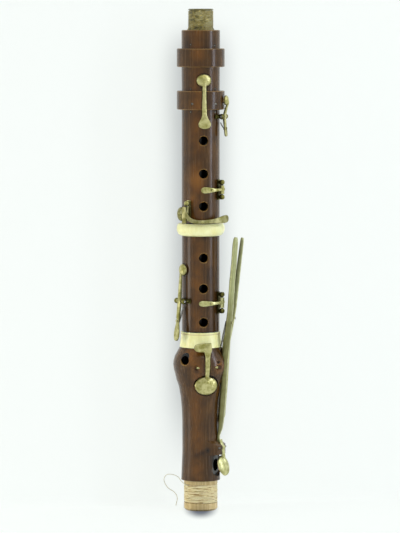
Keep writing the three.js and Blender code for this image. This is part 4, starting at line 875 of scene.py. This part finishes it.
def windThread(node, winding):
    low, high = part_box(node)
    half = winding["thread"] / 2
    start = winding.get("from", low.z / mm + half)
    end = winding.get("to", high.z / mm - half)
    radius = winding.get("radius", (high.x - low.x) / 2 / mm - half)
    chance = random.Random(node)
    count = int((end - start) / winding["pitch"] * winder["steps"])
    shifts = [chance.uniform(-1, 1) for _ in range(count // winder["swaySteps"] + 3)]
    places = []
    for i in range(count + 1):
        angle = 2 * math.pi * i / winder["steps"]
        draw, share = divmod(i / winder["swaySteps"], 1)
        share = share * share * (3 - 2 * share)
        sway = shifts[int(draw)] * (1 - share) + shifts[int(draw) + 1] * share
        sway *= winding["uneven"]
        height = min(max(start + (end - start) * i / count + sway, start), end)
        reach = radius + sway * winder["swayDepth"]
        if "flare" in winding:
            rise = (height - start) / winding["flareHeight"]
            reach += winding["flare"] * max(0, 1 - rise) ** winder["flareCurve"]
        places.append((bore.x + reach * mm * math.sin(angle),
                       bore.y - reach * mm * math.cos(angle), height * mm))
    coil = makeStrand(node + "_coil", places, winding["thread"], winder["roundness"])
    shape = bmesh.new()
    shape.from_mesh(coil.to_mesh())
    coil.to_mesh_clear()
    bpy.data.objects.remove(coil)
    piece = finishPiece(node + "_linen", shape, winding["finish"], [node])
    piece.data.shade_smooth()


for node, winding in windings.items():
    windThread(node, winding)
print("threads wound")


# The loose end of the thread, from the winding to the table, in mm from the bore axis
looseEnd = {
    "diameter": 0.45, "steps": 6, "roundness": 2,
    "route": [
        (-9.04, -6.41, 17.1), (-10.6, -4.9, 17.3), (-12.1, -3.2, 18.1), (-13.6, -1.0, 19.5),
        (-15.1, 1.4, 21.8), (-18.6, 2.4, 23.4), (-21.9, 2.5, 23.6), (-23.8, 2.8, 22.1),
        (-24.4, 3.4, 19.6), (-23.1, 3.7, 16.3), (-20.9, 3.8, 13.7), (-18.0, 3.4, 11.9),
        (-16.1, 3.0, 9.5), (-15.5, 2.7, 6.9), (-16.1, 2.5, 4.1), (-16.5, 2.4, 2.3),
    ],
}


# A smooth curve through the points, with so many steps from each to the next
def smoothRoute(points, steps):
    ends = [points[0] * 2 - points[1], *points, points[-1] * 2 - points[-2]]
    smooth = []
    for i in range(1, len(ends) - 2):
        for step in range(steps):
            t = step / steps
            a, b, c, d = ends[i - 1:i + 3]
            smooth.append(0.5 * (2 * b + (c - a) * t + (2 * a - 5 * b + 4 * c - d) * t * t
                                 + (3 * b - a - 3 * c + d) * t ** 3))
    return [*smooth, points[-1]]


def makeLooseEnd():
    stops = [bore + Vector(point) * mm for point in looseEnd["route"]]
    line = smoothRoute(stops, looseEnd["steps"])
    piece = makeStrand("loose_thread_linen", line, looseEnd["diameter"], looseEnd["roundness"])
    bpy.context.scene.collection.objects.link(piece)
    piece.data.materials.append(finishes["looseThread"])
    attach(piece, "body")
    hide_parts("loose_thread_end")


makeLooseEnd()

# The studio: a pale cove that is seen from its front only, and a room of even light
# that is brighter towards the front. The cove's sizes are in metres. The paper carries
# painted shade under the foot and behind the tube, in mm.
studio = {
    "paper": "#fafcfa", "front": 2.6, "behind": 0.028, "curve": 0.006, "tall": 2.2, "wide": 3.0,
    "curveSteps": 16, "around": "#f9fefb", "aroundStrength": 0.5, "ownWhite": 0.85,
    "roomTurn": (0.15, 0.9, 1, 0.8),
    "shade": "#6f747f", "shadeReach": (10.8, 41, 50), "shadeTurn": 9, "shadeEdge": (1.25, 0.35),
    "tubeShade": "#7d8287", "tubeShadeSide": 2.6, "tubeShadeEdge": (34, 6), "tubeShadeCurve": 1.5,
    "tubeShadeShare": 0.54, "tubeShadeEnds": [(12, 90), (332, 296)],
}


def makeCove():
    shape = bmesh.new()
    section = [(-studio["front"], 0)]
    for step in range(studio["curveSteps"] + 1):
        angle = math.radians(90 * step / studio["curveSteps"])
        section.append((studio["behind"] - studio["curve"] * (1 - math.sin(angle)),
                        studio["curve"] * (1 - math.cos(angle))))
    section.append((studio["behind"], studio["tall"]))
    line = [shape.verts.new((-studio["wide"], y, z)) for y, z in section]
    edges = [shape.edges.new(pair) for pair in zip(line, line[1:])]
    made = bmesh.ops.extrude_edge_only(shape, edges=edges)["geom"]
    moved = [part for part in made if isinstance(part, bmesh.types.BMVert)]
    bmesh.ops.translate(shape, verts=moved, vec=(studio["wide"] * 2, 0, 0))
    bmesh.ops.recalc_face_normals(shape, faces=shape.faces)
    if sum(face.normal.z for face in shape.faces) < 0:
        bmesh.ops.reverse_faces(shape, faces=shape.faces)
    mesh = bpy.data.meshes.new("paper cove")
    shape.to_mesh(mesh)
    shape.free()
    mesh.shade_smooth()
    cove = bpy.data.objects.new("cove", mesh)
    bpy.context.scene.collection.objects.link(cove)
    material, tree = startMaterial("backdrop paper")
    # painted shadow on the paper under the end of the tenon
    placed = add(tree, "ShaderNodeMapping", {
        "Vector": millimetres(tree), "Rotation": (0, 0, math.radians(studio["shadeTurn"])),
    })
    scaled = add(tree, "ShaderNodeMapping", {
        "Vector": placed, "Scale": tuple(1 / reach for reach in studio["shadeReach"]),
    })
    shade = add(tree, "range", [add(tree, "length", [scaled]), *studio["shadeEdge"]])
    # and soft painted shade on the paper behind the tube
    parts = add(tree, "ShaderNodeSeparateXYZ", {"Vector": millimetres(tree)})
    side = add(tree, "absolute", [
        add(tree, "difference", [parts.outputs["X"], studio["tubeShadeSide"]]),
    ])
    tubeShade = add(tree, "range", [side, *studio["tubeShadeEdge"]])
    tubeShade = add(tree, "power", [tubeShade, studio["tubeShadeCurve"]])
    tubeShade = add(tree, "multiply", [tubeShade, studio["tubeShadeShare"]])
    for ends in studio["tubeShadeEnds"]:
        tubeShade = add(tree, "multiply", [tubeShade, add(tree, "range", [parts.outputs["Z"], *ends])])
    colours = {}
    for name in ("paper", "around"):
        withTubeShade = add(tree, "mix", {0: tubeShade, 6: linear(studio[name]), 7: linear(studio["tubeShade"])})
        colours[name] = add(tree, "mix", {0: shade, 6: withTubeShade, 7: linear(studio["shade"])})
    path = add(tree, "ShaderNodeLightPath")
    seen = add(tree, "maximum", [path.outputs["Is Camera Ray"], path.outputs["Is Glossy Ray"]])
    paper = add(tree, "ShaderNodeMixShader", [
        add(tree, "multiply", [seen, studio["ownWhite"]]),
        add(tree, "ShaderNodeBsdfDiffuse", {"Color": colours["paper"]}),
        add(tree, "ShaderNodeEmission", {"Color": colours["around"]}),
    ])
    behind = add(tree, "ShaderNodeNewGeometry").outputs["Backfacing"]
    add(tree, "ShaderNodeOutputMaterial", {
        "Surface": add(tree, "ShaderNodeMixShader", [
            behind, paper, add(tree, "ShaderNodeBsdfTransparent"),
        ]),
    })
    mesh.materials.append(material)


# Seen directly or mirrored the room is bright, and the light that it gives is weaker
def makeWorld():
    world = bpy.data.worlds.new("studio")
    bpy.context.scene.world = world
    world.use_nodes = True
    tree = world.node_tree
    tree.nodes.clear()
    path = add(tree, "ShaderNodeLightPath")
    seen = add(tree, "maximum", [
        path.outputs["Is Camera Ray"],
        add(tree, "maximum", [path.outputs["Is Glossy Ray"], path.outputs["Is Transmission Ray"]]),
    ])
    way = add(tree, "ShaderNodeTexCoord").outputs["Generated"]
    forward = add(tree, "dot", [way, (0, -1, 0)])
    strength = add(tree, "ShaderNodeMix", {
        0: seen, 2: studio["aroundStrength"],
        3: add(tree, "range", [forward, *studio["roomTurn"]]),
    }, data_type="FLOAT")
    add(tree, "ShaderNodeOutputWorld", {
        "Surface": add(tree, "ShaderNodeBackground", {
            "Color": linear(studio["around"]), "Strength": strength,
        }),
    })


# Soft lamps, aimed at a height in metres: azimuths run from the front to the right
lamps = {
    "right window": {"azimuth": 57, "elevation": 22, "distance": 1.3, "aim": 0.16,
                     "size": (0.16, 1.27), "power": 7.0, "colour": "#e6edff", "mirrored": True},
    "front right": {"azimuth": 18, "elevation": 60, "distance": 1.4, "aim": 0.16,
                    "size": (0.8, 0.8), "power": 4.5, "colour": "#fffcf4", "mirrored": True},
    "left fill": {"azimuth": -92, "elevation": 24, "distance": 1.4, "aim": 0.16,
                  "size": (0.7, 1.0), "power": 9.0, "colour": "#fff8ea", "mirrored": False},
    "low left": {"azimuth": -92, "elevation": 4, "distance": 0.42, "aim": 0.05,
                 "size": (0.2, 0.2), "power": 0.5, "colour": "#fff8ee", "mirrored": True},
}


# A place that far round, up and away from the target, and the turn that faces it
def around(azimuth, elevation, distance, target):
    turn, tilt = math.radians(azimuth), math.radians(elevation)
    way = Vector((math.sin(turn) * math.cos(tilt), -math.cos(turn) * math.cos(tilt),
                  math.sin(tilt)))
    return target + way * distance, (-way).to_track_quat("-Z", "Y")


def makeLamp(name, lamp):
    data = bpy.data.lights.new(name, "AREA")
    data.shape = "RECTANGLE"
    data.size, data.size_y = lamp["size"]
    data.energy = lamp["power"]
    data.color = linear(lamp["colour"])[:3]
    thing = bpy.data.objects.new(name, data)
    bpy.context.scene.collection.objects.link(thing)
    thing.visible_glossy = lamp["mirrored"]
    thing.rotation_mode = "QUATERNION"
    thing.location, thing.rotation_quaternion = around(
        lamp["azimuth"], lamp["elevation"], lamp["distance"], bore + upward * lamp["aim"])


makeCove()
makeWorld()
for name, lamp in lamps.items():
    makeLamp(name, lamp)

# The photograph: 400 by 533 pixels, two thirds of a millimetre each at the bore. The
# height and side that it is aimed at are in mm.
photograph = {
    "azimuth": -9, "elevation": 4.5, "tall": 533, "focalPixels": 3400, "pixelSize": 0.6667,
    "filmTall": 36, "targetHeight": 163.1, "targetSide": -0.5,
}


def makeCamera():
    data = bpy.data.cameras.new("photograph")
    data.sensor_width = photograph["filmTall"]
    data.lens = photograph["focalPixels"] * photograph["filmTall"] / photograph["tall"]
    camera = bpy.data.objects.new("photograph", data)
    bpy.context.scene.collection.objects.link(camera)
    target = bore + Vector((photograph["targetSide"], 0, photograph["targetHeight"])) * mm
    distance = photograph["focalPixels"] * photograph["pixelSize"] * mm
    camera.rotation_mode = "QUATERNION"
    camera.location, camera.rotation_quaternion = around(
        photograph["azimuth"], photograph["elevation"], distance, target)
    bpy.context.scene.camera = camera


makeCamera()
bpy.context.scene.view_settings.view_transform = "Standard"
